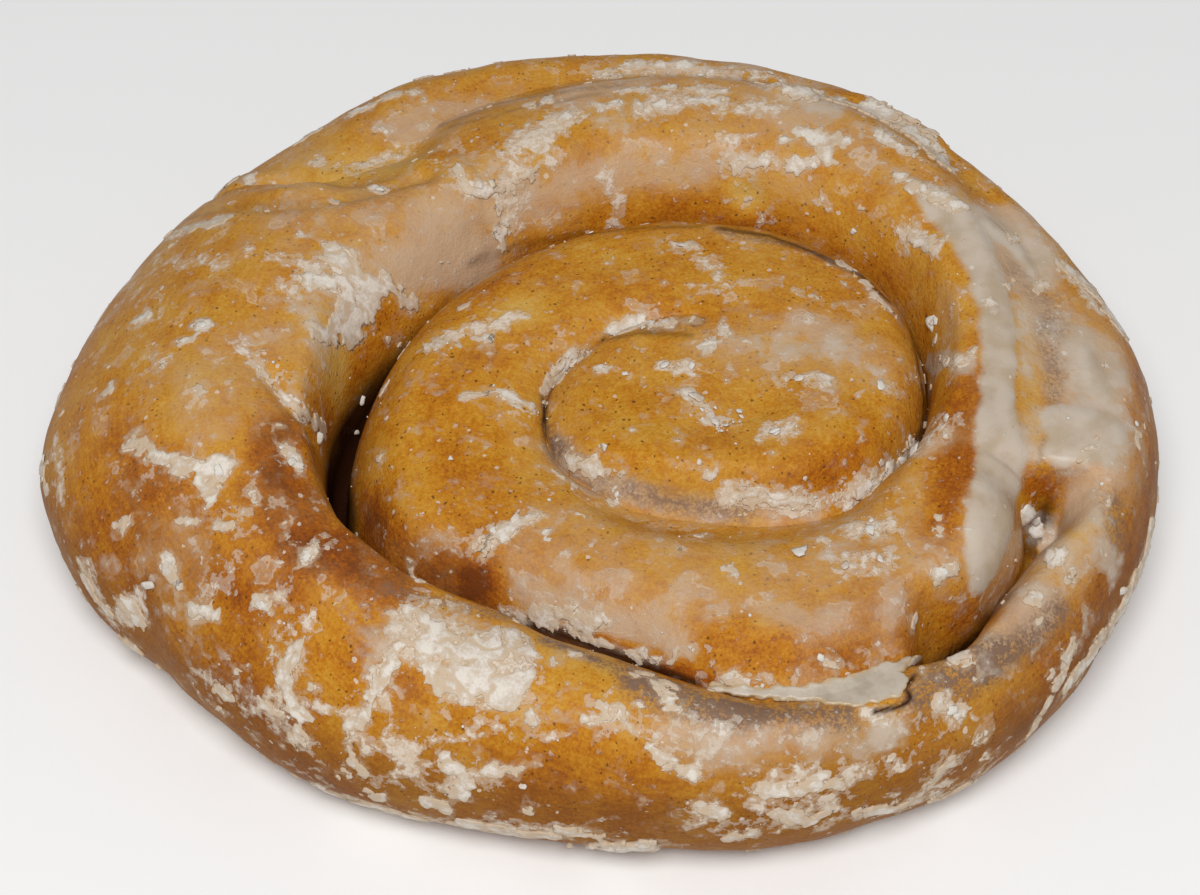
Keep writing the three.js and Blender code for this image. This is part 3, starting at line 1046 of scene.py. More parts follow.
@dataclass(frozen=True)
class DoughCoil:
    """The rope of dough: where each turn runs and how high it stands, in millimetres.

    A place on top has a turn, in degrees along the rope, and a share of the way across the rope.
    One full turn further on, the rope's inner side is the outer side of the turn before.
    """

    centre: tuple[float, float] = (13.0, -13.5)
    widest_height: float = 13.0
    foot_inset: float = 9.0
    start: float = 10.0
    meets_outline: float = 865.0
    pointed_width: float = 1e-6
    least_gap: float = 0.05

    outline: StationCurve = StationCurve((
        (0, 49), (20, 52.6), (40, 54.8), (58, 57), (70, 62.3), (90, 67), (110, 70.8), (130, 75),
        (150, 77), (165, 77), (174, 76.6), (184, 72.4), (195, 64.2), (215, 55.2), (240, 44.8),
        (265, 41), (290, 40.8), (320, 43), (340, 45),
    ), repeats=True)
    crease: StationCurve = StationCurve((
        (10, 0), (97, 17.7), (150, 20.5), (184, 18), (210, 13.6), (265, 10), (334, 15.8),
        (371, 22.9), (423, 34.7), (464, 37.9), (501, 39.6), (534, 42.5), (556, 40.1), (584, 30),
        (607, 28.1), (652, 34), (672, 33), (711, 36), (733, 38.5), (769, 48.6), (794, 54.8),
        (841, 58.8), (850, 56.5), (857, 58.5), (865, 76.6),
    ))
    crease_floor: StationCurve = StationCurve((
        (10, 28.5), (85, 28.5), (127, 25.6), (157, 24), (210, 24.2), (318, 23.8), (350, 21),
        (371, 17), (402, 18), (439, 21), (501, 20), (528, 10), (542, 8), (556, 11), (577, 16),
        (610, 19), (630, 20.8), (642, 22.2), (658, 22.4), (664, 21.5), (669, 16), (675, 10),
        (690, 16), (703, 17), (709, 16.5), (712, 18.5), (715.5, 26.3), (733, 27.6), (745, 28.2),
        (769, 28.8), (794, 28.8), (841, 28), (850, 27.5), (857, 27), (860, 25), (863, 22),
        (865, 13), (1225, 13),
    ))
    crease_gap: StationCurve = StationCurve((
        (10, 0), (510, 0), (534, 0.75), (552, 0.6), (570, 0), (664, 0), (675, 0.8), (688, 0),
        (700, 0.2), (709, 1.7), (713, 1.3), (718, 0), (865, 0), (1225, 0),
    ))
    crease_fill: StationCurve = StationCurve((
        (10, 0), (190, 0), (225, 0.85), (318, 0.85), (350, 0), (628, 0), (642, 0.8),
        (660, 0.85), (668, 0), (711, 0), (716, 0.95), (780, 0.95),
        (841, 0.8), (857, 0.6), (865, 0), (1225, 0),
    ))
    outer_height: StationCurve = StationCurve((
        (10, 28.5), (85, 28.5), (157, 27), (210, 28), (318, 28), (371, 27.5), (439, 26.5),
        (528, 26.5), (577, 26), (642, 26), (675, 27), (711, 29), (733, 31), (769, 32), (794, 32),
        (841, 30), (857, 28.5), (865, 29), (900, 29), (940, 25), (990, 23.5), (1030, 23),
        (1080, 24.5), (1130, 24.5), (1200, 26.5), (1220, 25.5), (1225, 13),
    ))
    outer_round: StationCurve = StationCurve((
        (10, 4), (210, 5), (371, 5), (439, 6), (528, 8), (577, 6), (642, 7), (690, 5), (711, 9),
        (745, 10), (769, 7), (841, 5), (857, 6), (865, 26), (900, 24), (940, 16), (990, 9),
        (1040, 8), (1080, 6), (1120, 7), (1150, 8), (1200, 9), (1215, 14), (1225, 16),
    ))
    inner_height: StationCurve = StationCurve((
        (10, 28.5), (85, 28.5), (157, 27.5), (210, 26.5), (318, 26.5), (371, 29), (439, 31),
        (501, 32), (528, 31), (556, 27.5), (577, 25), (610, 23.5), (658, 23.5), (696, 23),
        (708, 23.8), (716, 25.8), (733, 26.8), (769, 27.3), (794, 27.3), (841, 28), (857, 27),
        (862, 24.5), (865, 13),
    ))
    inner_round: StationCurve = StationCurve((
        (10, 4), (157, 4), (252, 7), (371, 4), (439, 6), (510, 8), (532, 3), (556, 3), (584, 4),
        (696, 4), (716, 6), (733, 7), (794, 7), (841, 6), (865, 4),
    ))
    arch: StationCurve = StationCurve((
        (10, 0), (97, 0), (210, 1), (360, 1), (457, 0.5), (600, 1), (730, 0.5), (810, 1.5),
        (900, 2), (1000, 0.5), (1200, 1), (1225, 0),
    ))

    @property
    def end(self) -> float:
        """The turn where the rope's tail has narrowed to nothing."""
        return self.meets_outline + FULL_TURN

    def outer_edge(self, turn: Array) -> Array:
        """How far out the rope's outer side is: on the crease, and past its end the outline."""
        return np.where(turn < self.meets_outline, self.crease.at(turn), self.outline.at(turn))

    def inner_edge(self, turn: Array) -> Array:
        """How far out its inner side is: on the crease one turn earlier, or at the centre."""
        before = turn - FULL_TURN
        return np.where(before <= self.start, 0.0, self.crease.at(before))

    def width(self, turn: Array) -> Array:
        """How wide the rope is, never quite nothing."""
        return np.maximum(self.outer_edge(turn) - self.inner_edge(turn), self.pointed_width)

    @staticmethod
    def drop(distance: Array, rounding: Array, filled: Array) -> Array:
        """A shoulder's drop into a crease: all of it at distance 0, none past the rounding.

        Args:
            distance: How far in from the crease, in millimetres.
            rounding: How wide the shoulder is rounded.
            filled: 0 where the crease is open, up to 1 where it is a soft hollow.

        Returns:
            A share of the drop for each place.
        """
        inward = 1.0 - np.clip(distance / rounding, 0.0, 1.0)
        shoulder = 1.0 - np.sqrt(1.0 - inward * inward)
        return shoulder + (smooth_step(inward, 0.0, 1.0) - shoulder) * filled

    def heights(self, turn: Array, across: Array) -> tuple[Array, Array]:
        """The dough's height, and how much its creases take off the rope's back there.

        Args:
            turn: Degrees along the rope.
            across: Share of the way across it.

        Returns:
            Both in millimetres.
        """
        inner = np.maximum(turn - FULL_TURN, self.start)
        width = self.width(turn)
        from_inner = across * width
        from_outer = width - from_inner
        inner_height = self.inner_height.at(inner)
        outer_height = self.outer_height.at(turn)
        share = smooth_step(across, 0.0, 1.0)
        back = inner_height + (outer_height - inner_height) * share
        back += self.arch.at(turn) * (4.0 * across * (1.0 - across)) ** 2
        inner_round = np.minimum(self.inner_round.at(inner), width)
        outer_round = np.minimum(self.outer_round.at(turn), width)
        lost = (inner_height - self.crease_floor.at(inner)) * self.drop(
            from_inner - self.crease_gap.at(inner), inner_round, self.crease_fill.at(inner))
        lost += (outer_height - self.crease_floor.at(turn)) * self.drop(
            from_outer - self.crease_gap.at(turn), outer_round, self.crease_fill.at(turn))
        return back - lost, lost

    def spread(self, turn: Array, share: Array, steps: int, crowding: float) -> Array:
        """Crowds even shares of the way across towards both sides of the rope.

        Args:
            turn: Degrees along the rope.
            share: Even shares, in steps.
            steps: How many steps there are. The first and the last one span the floor of a gap.
            crowding: 0 leaves the shares even.

        Returns:
            The shares to use.
        """
        inner = np.maximum(turn - FULL_TURN, self.start)
        width = self.width(turn)
        first = np.maximum(self.crease_gap.at(inner), self.least_gap) / width
        last = np.maximum(self.crease_gap.at(turn), self.least_gap) / width
        first, last = np.minimum(first, 1.0 / steps), np.minimum(last, 1.0 / steps)
        even = np.clip((share * steps - 1.0) / (steps - 2.0), 0.0, 1.0)
        even += ((1.0 - np.cos(math.pi * even)) / 2.0 - even) * crowding
        middle = first + (1.0 - first - last) * even
        return np.where(share * steps < 0.5, 0.0, np.where(share * steps > steps - 0.5, 1.0, middle))

    def put(self, bearing: Array, radius: Array, height: Array) -> Array:
        """Places given by a bearing, a distance from the centre and a height.

        Args:
            bearing: Degrees round the centre.
            radius: Millimetres from the centre.
            height: Millimetres above the ground.

        Returns:
            Places in metres, one row each.
        """
        angle = np.radians(bearing)
        x = self.centre[0] + radius * np.cos(angle)
        y = self.centre[1] + radius * np.sin(angle)
        return np.stack((x, y, height), axis=1) * MM

    def top(self, turn: Array, across: Array) -> tuple[Array, Array]:
        """Places on the rope's top.

        Args:
            turn: Degrees along the rope.
            across: Share of the way across it.

        Returns:
            Places in metres, and how far each is below the rope's back, in millimetres.
        """
        inner = self.inner_edge(turn)
        radius = inner + (self.outer_edge(turn) - inner) * across
        height, lost = self.heights(turn, across)
        return self.put(turn, radius, height), lost

    def side(self, bearing: Array, roll: Array) -> Array:
        """Places where the dough rolls under.

        Args:
            bearing: Degrees round the outline.
            roll: From 0 at the widest level to 1 at the foot, and on to 2 at the foot's middle.

        Returns:
            Places in metres.
        """
        angle = np.minimum(roll, 1.0) * math.pi / 2.0
        inset = self.foot_inset * (1.0 - np.cos(angle))
        share = 2.0 - np.maximum(roll, 1.0)
        radius = (self.outline.at(bearing) - inset) * share
        return self.put(bearing, radius, self.widest_height * (1.0 - np.sin(angle)))

    def even_bearings(self, rows: int) -> Array:
        """Bearings of rows spaced evenly along the outline, from where the rope meets it.

        Args:
            rows: How many rows one full turn has.

        Returns:
            One more bearing than rows, the last one a full turn past the first.
        """
        first = self.meets_outline % FULL_TURN
        bearings = first + np.linspace(0.0, FULL_TURN, 20 * rows + 1)
        line = self.put(bearings, self.outline.at(bearings), np.zeros(len(bearings)))
        legs = np.linalg.norm(np.diff(line, axis=0), axis=1)
        walked = np.concatenate(((0.0,), np.cumsum(legs)))
        return np.interp(np.linspace(0.0, walked[-1], rows + 1), walked, bearings)


# ---- Shader tools ----


@dataclass
class NodeBench:
    """A node tree, with short ways to add nodes and to do sums with their sockets."""

    tree: NodeTree

    def add(self, kind: str, **settings: object) -> Node:
        """Adds a node.

        Args:
            kind: Its type, without the leading ShaderNode.
            settings: Its properties.

        Returns:
            The node.
        """
        node = self.tree.nodes.new(f"ShaderNode{kind}")
        for name, value in settings.items():
            setattr(node, name, value)
        return node

    def feed(self, socket: Socket, value: object) -> None:
        """Joins another socket to this one, or sets it to a plain value.

        Args:
            socket: The input.
            value: A socket, a number, a colour or coordinates.
        """
        if isinstance(value, Socket):
            self.tree.links.new(value, socket)
        elif isinstance(value, tuple) and len(value) == 3 and socket.type == "RGBA":
            socket.default_value = (*value, 1.0)
        else:
            socket.default_value = value

    def fill(self, node: Node, values: dict[str | int, object]) -> Node:
        """Feeds inputs of a node.

        Args:
            node: The node.
            values: What each input gets, by its name or its number.

        Returns:
            The same node.
        """
        for name, value in values.items():
            self.feed(node.inputs[name], value)
        return node

    def sum(self, operation: str, *terms: Level) -> Socket:
        """One step of arithmetic on numbers."""
        return self.fill(self.add("Math", operation=operation), dict(enumerate(terms))).outputs[0]

    def plus(self, base: Level, *parts: tuple[Socket, float]) -> Socket:
        """A number with others added to it.

        Args:
            base: The number.
            parts: Each other number and its weight.

        Returns:
            The sum.
        """
        for part, weight in parts:
            base = self.sum("MULTIPLY_ADD", part, weight, base)
        return base

    def vector(self, operation: str, *terms: Socket | Place) -> Socket:
        """One step of arithmetic on coordinates."""
        node = self.fill(self.add("VectorMath", operation=operation), dict(enumerate(terms)))
        return node.outputs["Value" if operation == "LENGTH" else "Vector"]

    def ramp(self, value: Level, low: float, high: float, start: float = 0.0,
             end: float = 1.0) -> Socket:
        """A smooth step of a number from low to high, scaled to run from start to end."""
        node = self.add("MapRange", interpolation_type="SMOOTHSTEP")
        return self.fill(node, dict(enumerate((value, low, high, start, end)))).outputs["Result"]

    def mix(self, share: Level, under: Socket | Colour, over: Socket | Colour) -> Socket:
        """Lays one colour over another, which it hides where the share is 1."""
        node = self.add("Mix", data_type="RGBA")
        return self.fill(node, {0: share, 6: under, 7: over}).outputs[2]

    def blend(self, share: Level, under: Level, over: Level) -> Socket:
        """The same for two numbers."""
        node = self.add("Mix", data_type="FLOAT")
        return self.fill(node, {0: share, 2: under, 3: over}).outputs[0]

    def colours(self, value: Level, *stops: tuple[float, Colour]) -> Socket:
        """A run of colours along a number.

        Args:
            value: The number, from 0 to 1.
            stops: Places on the run, each with its colour.

        Returns:
            The colour.
        """
        node = self.add("ValToRGB")
        elements = node.color_ramp.elements
        while len(elements) < len(stops):
            elements.new(0.5)
        for element, (position, colour) in zip(elements, stops):
            element.position = position
            element.color = (*colour, 1.0)
        self.feed(node.inputs[0], value)
        return node.outputs[0]

    def kept(self, what: Kept) -> Socket:
        """A number that the mesh keeps."""
        return self.add("Attribute", attribute_name=what.value).outputs["Fac"]

    def millimetres(self) -> Socket:
        """The piece's own coordinates in millimetres."""
        return self.vector("MULTIPLY", self.add("TexCoord").outputs["Object"], (1.0 / MM,) * 3)

    def noise(self, places: Socket, size_mm: float, detail: float = 3.0,
              rough: float = 0.55) -> Socket:
        """Uneven noise from 0 to 1 with lumps of a size."""
        values = {"Vector": places, "Scale": 1.0 / size_mm, "Detail": detail, "Roughness": rough}
        return self.fill(self.add("TexNoise"), values).outputs["Fac"]

    def centred(self, places: Socket, size_mm: float, detail: float = 3.0,
                rough: float = 0.55) -> Socket:
        """The same noise from -0.5 to 0.5."""
        return self.sum("SUBTRACT", self.noise(places, size_mm, detail, rough), 0.5)

    def strayed(self, places: Socket, size_mm: float, far_mm: float) -> Socket:
        """Lets coordinates wander, so that a pattern on them loses its straight edges.

        Args:
            places: Coordinates in millimetres.
            size_mm: How wide the bends are.
            far_mm: How far apart the ends of the wander are.

        Returns:
            The new coordinates.
        """
        node = self.fill(self.add("TexNoise"), {"Vector": places, "Scale": 1.0 / size_mm})
        away = self.vector("SUBTRACT", node.outputs["Color"], (0.5, 0.5, 0.5))
        return self.vector("MULTIPLY_ADD", away, (far_mm,) * 3, places)

    def chips(self, places: Socket, size_mm: float) -> Socket:
        """Cracks a film into chips.

        Args:
            places: Coordinates in millimetres.
            size_mm: How wide a chip is.

        Returns:
            A number from -0.5 to 0.5 that is the same all over each chip.
        """
        cells = self.fill(self.add("TexVoronoi"), {"Vector": places, "Scale": 1.0 / size_mm})
        split = self.fill(self.add("SeparateColor"), {"Color": cells.outputs["Color"]})
        return self.sum("SUBTRACT", split.outputs[0], 0.5)

    def streaks(self, places: Socket, middle_mm: Place, width_mm: float, bend_mm: float) -> Socket:
        """Uneven noise drawn out into streaks that run round a middle.

        Args:
            places: Coordinates in millimetres.
            middle_mm: What the streaks run round.
            width_mm: How wide a streak is.
            bend_mm: A smaller one makes the streaks shorter.

        Returns:
            A number from 0 to 1.
        """
        flat = self.vector("MULTIPLY", self.vector("SUBTRACT", places, middle_mm), (1.0, 1.0, 0.0))
        around = self.vector("MULTIPLY", self.vector("NORMALIZE", flat), (bend_mm,) * 3)
        height = self.fill(self.add("SeparateXYZ"), {"Vector": places}).outputs["Z"]
        outwards = self.sum("SUBTRACT", self.vector("LENGTH", flat), height)
        drawn = self.fill(self.add("CombineXYZ"), {"Z": outwards})
        return self.noise(self.vector("ADD", around, drawn.outputs[0]), width_mm, 3.0, 0.6)


def dots_effect() -> NodeTree:
    """The shared effect that draws round specks at some of the cells of a net.

    Returns:
        Its node group, which is built the first time that it is asked for.
    """
    tree = bpy.data.node_groups.get("dots")
    if tree:
        return tree
    tree = bpy.data.node_groups.new("dots", "ShaderNodeTree")
    kinds = {"Places": "Vector", "Spacing": "Float", "Radius": "Float", "Share": "Float"}
    for name, kind in kinds.items():
        tree.interface.new_socket(name, in_out="INPUT", socket_type=f"NodeSocket{kind}")
    tree.interface.new_socket("Mask", in_out="OUTPUT", socket_type="NodeSocketFloat")
    bench = NodeBench(tree)
    given = tree.nodes.new("NodeGroupInput").outputs
    scale = bench.sum("DIVIDE", 1.0, given["Spacing"])
    cells = bench.fill(bench.add("TexVoronoi"), {"Vector": given["Places"], "Scale": scale})
    split = bench.fill(bench.add("SeparateColor"), {"Color": cells.outputs["Color"]})
    chosen = bench.ramp(split.outputs[0], 0.0, 1.0)
    radius = bench.sum("DIVIDE", given["Radius"], given["Spacing"])
    radius = bench.sum("MULTIPLY", radius, bench.sum("ADD", split.outputs[1], 0.35))
    near = bench.sum("LESS_THAN", cells.outputs["Distance"], radius)
    enough = bench.sum("LESS_THAN", chosen, given["Share"])
    mask = bench.sum("MULTIPLY", near, enough)
    bench.fill(tree.nodes.new("NodeGroupOutput"), {"Mask": mask})
    return tree


def dotted(bench: NodeBench, places: Socket, under: Socket, dots: Colour, cover: float,
           **sizes: float) -> Socket:
    """Lays dots over a colour.

    Args:
        bench: The material's bench.
        places: Coordinates in millimetres.
        under: The colour below them.
        dots: Their own colour.
        cover: How much of the colour below they hide, from 0 to 1.
        sizes: Spacing and Radius in millimetres, and the Share of places that have one.

    Returns:
        The colour that shows.
    """
    group = bench.add("Group", node_tree=dots_effect())
    mask = bench.fill(group, {"Places": places, **sizes}).outputs[0]
    return bench.mix(bench.sum("MULTIPLY", mask, cover), under, dots)


def new_finish(name: str) -> tuple[Material, NodeBench, Node]:
    """A new material with a Principled shader.

    Args:
        name: The material's name.

    Returns:
        The material, its bench and its shader.
    """
    material = bpy.data.materials.new(name)
    material.use_nodes = True
    material.node_tree.nodes.clear()
    bench = NodeBench(material.node_tree)
    shader = bench.add("BsdfPrincipled")
    bench.feed(bench.add("OutputMaterial").inputs["Surface"], shader.outputs[0])
    return material, bench, shader


def bump(bench: NodeBench, shader: Node, height_mm: Socket, strength: float) -> None:
    """Lets the shader's surface look raised by a height in millimetres."""
    values = {"Strength": strength, "Distance": MM, "Height": height_mm}
    bench.feed(shader.inputs["Normal"], bench.fill(bench.add("Bump"), values).outputs[0])


# ---- Finishes ----


@dataclass(frozen=True)
class Uneven:
    """The noises that the dough's coats share, and the coordinates that they lie on."""

    places: Socket
    strays: Socket
    cloud: Socket
    patchy: Socket
    grain: Socket
    chips: Socket
    torn: Socket


@dataclass(frozen=True)
class DoughFinish:
    """Fried dough, browned unevenly, with its film, smears and residue of glaze, and painted shade
    on its rim and in its creases.
    """

    pale: Colour = (0.60, 0.36, 0.085)
    honey: Colour = (0.55, 0.262, 0.028)
    golden: Colour = (0.48, 0.180, 0.011)
    brown: Colour = (0.33, 0.090, 0.008)
    dark: Colour = (0.17, 0.045, 0.010)
    speck: Colour = (0.11, 0.038, 0.008)
    thin_film: Colour = (0.525, 0.290, 0.092)
    thick_film: Colour = (0.535, 0.385, 0.260)
    cinnamon: Colour = (0.215, 0.130, 0.085)
    grey_milk: Colour = (0.46, 0.37, 0.27)
    milk: Colour = (0.55, 0.47, 0.385)
    sugar: Colour = (0.70, 0.62, 0.53)
    dull_sugar: Colour = (0.54, 0.405, 0.275)
    # painted shade: shadow darkens the steep outer rim, by rim_shadow
    shadow: Colour = (0.16, 0.070, 0.016)
    # painted shade: near black, for deep creases and cracks
    gap: Colour = (0.030, 0.009, 0.003)
    streaks_round_mm: Place = (13.0, -13.5, 0.0)
    torn_layers: tuple[tuple[float, float], ...] = ((0.40, 0.06), (0.80, 0.09), (1.20, 0.08))
    rim_shadow: float = 0.54
    crust_cover: float = 0.85
    bare_roughness: float = 0.44
    glazed_roughness: float = 0.26
    chalk_roughness: float = 0.7
    bare_shine: float = 0.06
    glazed_shine: float = 0.18
    shadow_shine: float = 0.03
    grain_height_mm: float = 0.10
    patch_height_mm: float = 0.20
    chalk_height_mm: float = 0.10
    pool_smoothing: float = 0.8

    @staticmethod
    def uneven(bench: NodeBench) -> Uneven:
        """Wires the noises that the coats share.

        Args:
            bench: The material's bench.

        Returns:
            The noises.
        """
        places = bench.millimetres()
        patchy = bench.centred(places, 1.3, 4.0, 0.62)
        chips = bench.chips(bench.strayed(places, 1.6, 1.8), 2.4)
        return Uneven(
            places=places,
            strays=bench.strayed(places, 0.5, 0.45),
            cloud=bench.centred(places, 3.8, 3.0, 0.5),
            patchy=patchy,
            grain=bench.centred(places, 0.38, 2.0, 0.7),
            chips=chips,
            torn=bench.plus(bench.sum("MULTIPLY", patchy, 1.5), (chips, 0.30)),
        )

    def browned(self, bench: NodeBench, uneven: Uneven) -> Socket:
        """Wires the bare dough's colour, with its dark specks. Its browning also carries painted
        shade in creases and on the outer rim.

        Args:
            bench: The material's bench.
            uneven: The noises.

        Returns:
            The colour.
        """
        broad = bench.centred(uneven.places, 6.0, 2.0)
        streaks = bench.streaks(uneven.places, self.streaks_round_mm, 0.8, 6.0)
        streaks = bench.sum("SUBTRACT", streaks, 0.5)
        toast_and_shade = bench.plus(bench.kept(Kept.TOAST_AND_SHADE), (broad, 1.0), (uneven.patchy, 1.0),
                           (streaks, 0.7), (uneven.grain, 1.3))
        toast_and_shade = bench.sum("MULTIPLY_ADD", toast_and_shade, 0.5, 0.45)
        colour = bench.colours(toast_and_shade, (0.12, self.pale), (0.36, self.honey), (0.54, self.golden),
                               (0.76, self.brown), (1.0, self.dark))
        return dotted(bench, uneven.strays, colour, self.speck, 0.8, Spacing=0.72, Radius=0.14,
                      Share=0.6)

    def filmed(self, bench: NodeBench, uneven: Uneven, colour: Socket) -> tuple[Socket, Socket]:
        """Lays on the milky film, smooth but for the bright edges of its torn layers.

        Args:
            bench: The material's bench.
            uneven: The noises.
            colour: The colour below.

        Returns:
            The colour that shows, and how much of the dough the film covers.
        """
        film = bench.plus(bench.kept(Kept.FILM), (uneven.cloud, 1.2), (uneven.patchy, 0.45),
                          (uneven.chips, 0.25))
        share = bench.ramp(film, -0.25, 1.4, 0.0, 0.62)
        rims = 0.0
        for level, weight in self.torn_layers:
            layer = bench.ramp(film, level - 0.04, level + 0.08, 0.0, weight)
            share = bench.sum("ADD", share, layer)
            rim = bench.sum("SUBTRACT", bench.ramp(film, level - 0.02, level + 0.02),
                            bench.ramp(film, level + 0.03, level + 0.08))
            rims = bench.sum("ADD", rim, rims)
        milk = bench.mix(bench.ramp(share, 0.15, 0.75), self.thin_film, self.thick_film)
        colour = bench.mix(share, colour, milk)
        rims = bench.sum("MULTIPLY", rims, bench.ramp(uneven.cloud, 0.02, 0.12, 0.0, 0.35))
        return bench.mix(rims, colour, self.sugar), share

    def darkened(self, bench: NodeBench, uneven: Uneven, colour: Socket) -> Socket:
        """Lays on the cinnamon smears and the shade of the outer rim.

        Args:
            bench: The material's bench.
            uneven: The noises.
            colour: The colour below.

        Returns:
            The colour that shows.
        """
        smear = bench.ramp(bench.sum("ADD", uneven.patchy, uneven.grain), -0.20, 0.14, 0.25, 1.0)
        smear = bench.sum("MULTIPLY", bench.kept(Kept.CINNAMON), smear)
        colour = bench.mix(smear, colour, self.cinnamon)
        shade = bench.sum("MULTIPLY", bench.kept(Kept.RIM_SHADE), self.rim_shadow)
        return bench.mix(shade, colour, self.shadow)

    def pooled(self, bench: NodeBench, uneven: Uneven, colour: Socket) -> tuple[Socket, Socket]:
        """Lays on the milky pools and their haze, with a few grains of sugar.

        Args:
            bench: The material's bench.
            uneven: The noises.
            colour: The colour below.

        Returns:
            The colour that shows, and how much of the dough the milk covers.
        """
        milk = bench.mix(bench.ramp(uneven.cloud, -0.14, 0.14), self.grey_milk, self.milk)
        pool = bench.plus(bench.kept(Kept.MILK), (uneven.cloud, 2.0), (uneven.patchy, 0.8))
        haze = bench.plus(bench.kept(Kept.HAZE), (uneven.cloud, 1.5), (uneven.torn, 1.0))
        share = bench.sum("MAXIMUM", bench.ramp(pool, -0.60, 0.60, 0.0, 0.94),
                          bench.ramp(haze, 0.10, 0.95, 0.0, 0.72))
        colour = bench.mix(share, colour, milk)
        return dotted(bench, uneven.strays, colour, self.sugar, 0.6, Spacing=1.6, Radius=0.24,
                      Share=0.16), share

    def sugared(self, bench: NodeBench, uneven: Uneven, colour: Socket) -> tuple[Socket, Socket]:
        """Lays on the chalky residue, and the crust below and around its raised shells.

        Args:
            bench: The material's bench.
            uneven: The noises.
            colour: The colour below.

        Returns:
            The colour that shows, and how much of the dough the sugar covers.
        """
        fine = bench.sum("ADD", uneven.patchy, uneven.grain)
        sugar = bench.mix(bench.ramp(fine, -0.22, 0.22), self.dull_sugar, self.sugar)
        residue = bench.plus(bench.kept(Kept.RESIDUE), (uneven.torn, 1.3))
        residue = bench.sum("ADD", bench.ramp(residue, 0.36, 0.44, 0.0, 0.38),
                            bench.ramp(residue, 0.58, 0.72, 0.0, 0.50))
        colour = bench.mix(residue, colour, sugar)
        halo = bench.plus(bench.kept(Kept.CRUST), (uneven.torn, 2.4))
        colour = bench.mix(bench.ramp(halo, -0.85, 0.15, 0.0, 0.48), colour, self.dull_sugar)
        crust = bench.ramp(bench.plus(bench.kept(Kept.CRUST), (uneven.torn, 1.3)), 0.0, 0.12)
        colour = bench.mix(bench.sum("MULTIPLY", crust, self.crust_cover), colour, sugar)
        return colour, bench.sum("MAXIMUM", residue, crust)

    def material(self) -> Material:
        """Builds the material.

        Returns:
            The material.
        """
        material, bench, shader = new_finish("browned_dough")
        uneven = self.uneven(bench)
        colour, film = self.filmed(bench, uneven, self.browned(bench, uneven))
        colour, pool = self.pooled(bench, uneven, self.darkened(bench, uneven, colour))
        colour, chalk = self.sugared(bench, uneven, colour)
        # Painted shade: deep creases and cracks turn near black.
        gap = bench.kept(Kept.GAP_SHADE)
        colour = bench.mix(gap, colour, self.gap)

        glazed = bench.sum("MAXIMUM", film, pool)
        rough = bench.blend(glazed, self.bare_roughness, self.glazed_roughness)
        rough = bench.blend(chalk, rough, self.chalk_roughness)
        shine = bench.blend(glazed, self.bare_shine, self.glazed_shine)
        dull = bench.sum("MAXIMUM", bench.kept(Kept.RIM_SHADE), gap)
        shine = bench.blend(dull, shine, self.shadow_shine)
        bench.fill(shader, {"Base Color": colour, "Roughness": rough, "Specular IOR Level": shine})

        height = bench.plus(bench.sum("MULTIPLY", uneven.grain, self.grain_height_mm),
                            (uneven.patchy, self.patch_height_mm))
        smooth = bench.sum("SUBTRACT", 1.0, bench.sum("MULTIPLY", pool, self.pool_smoothing))
        height = bench.plus(bench.sum("MULTIPLY", height, smooth), (chalk, self.chalk_height_mm))
        bump(bench, shader, height, 0.8)
        return material


# ---- The dough ----


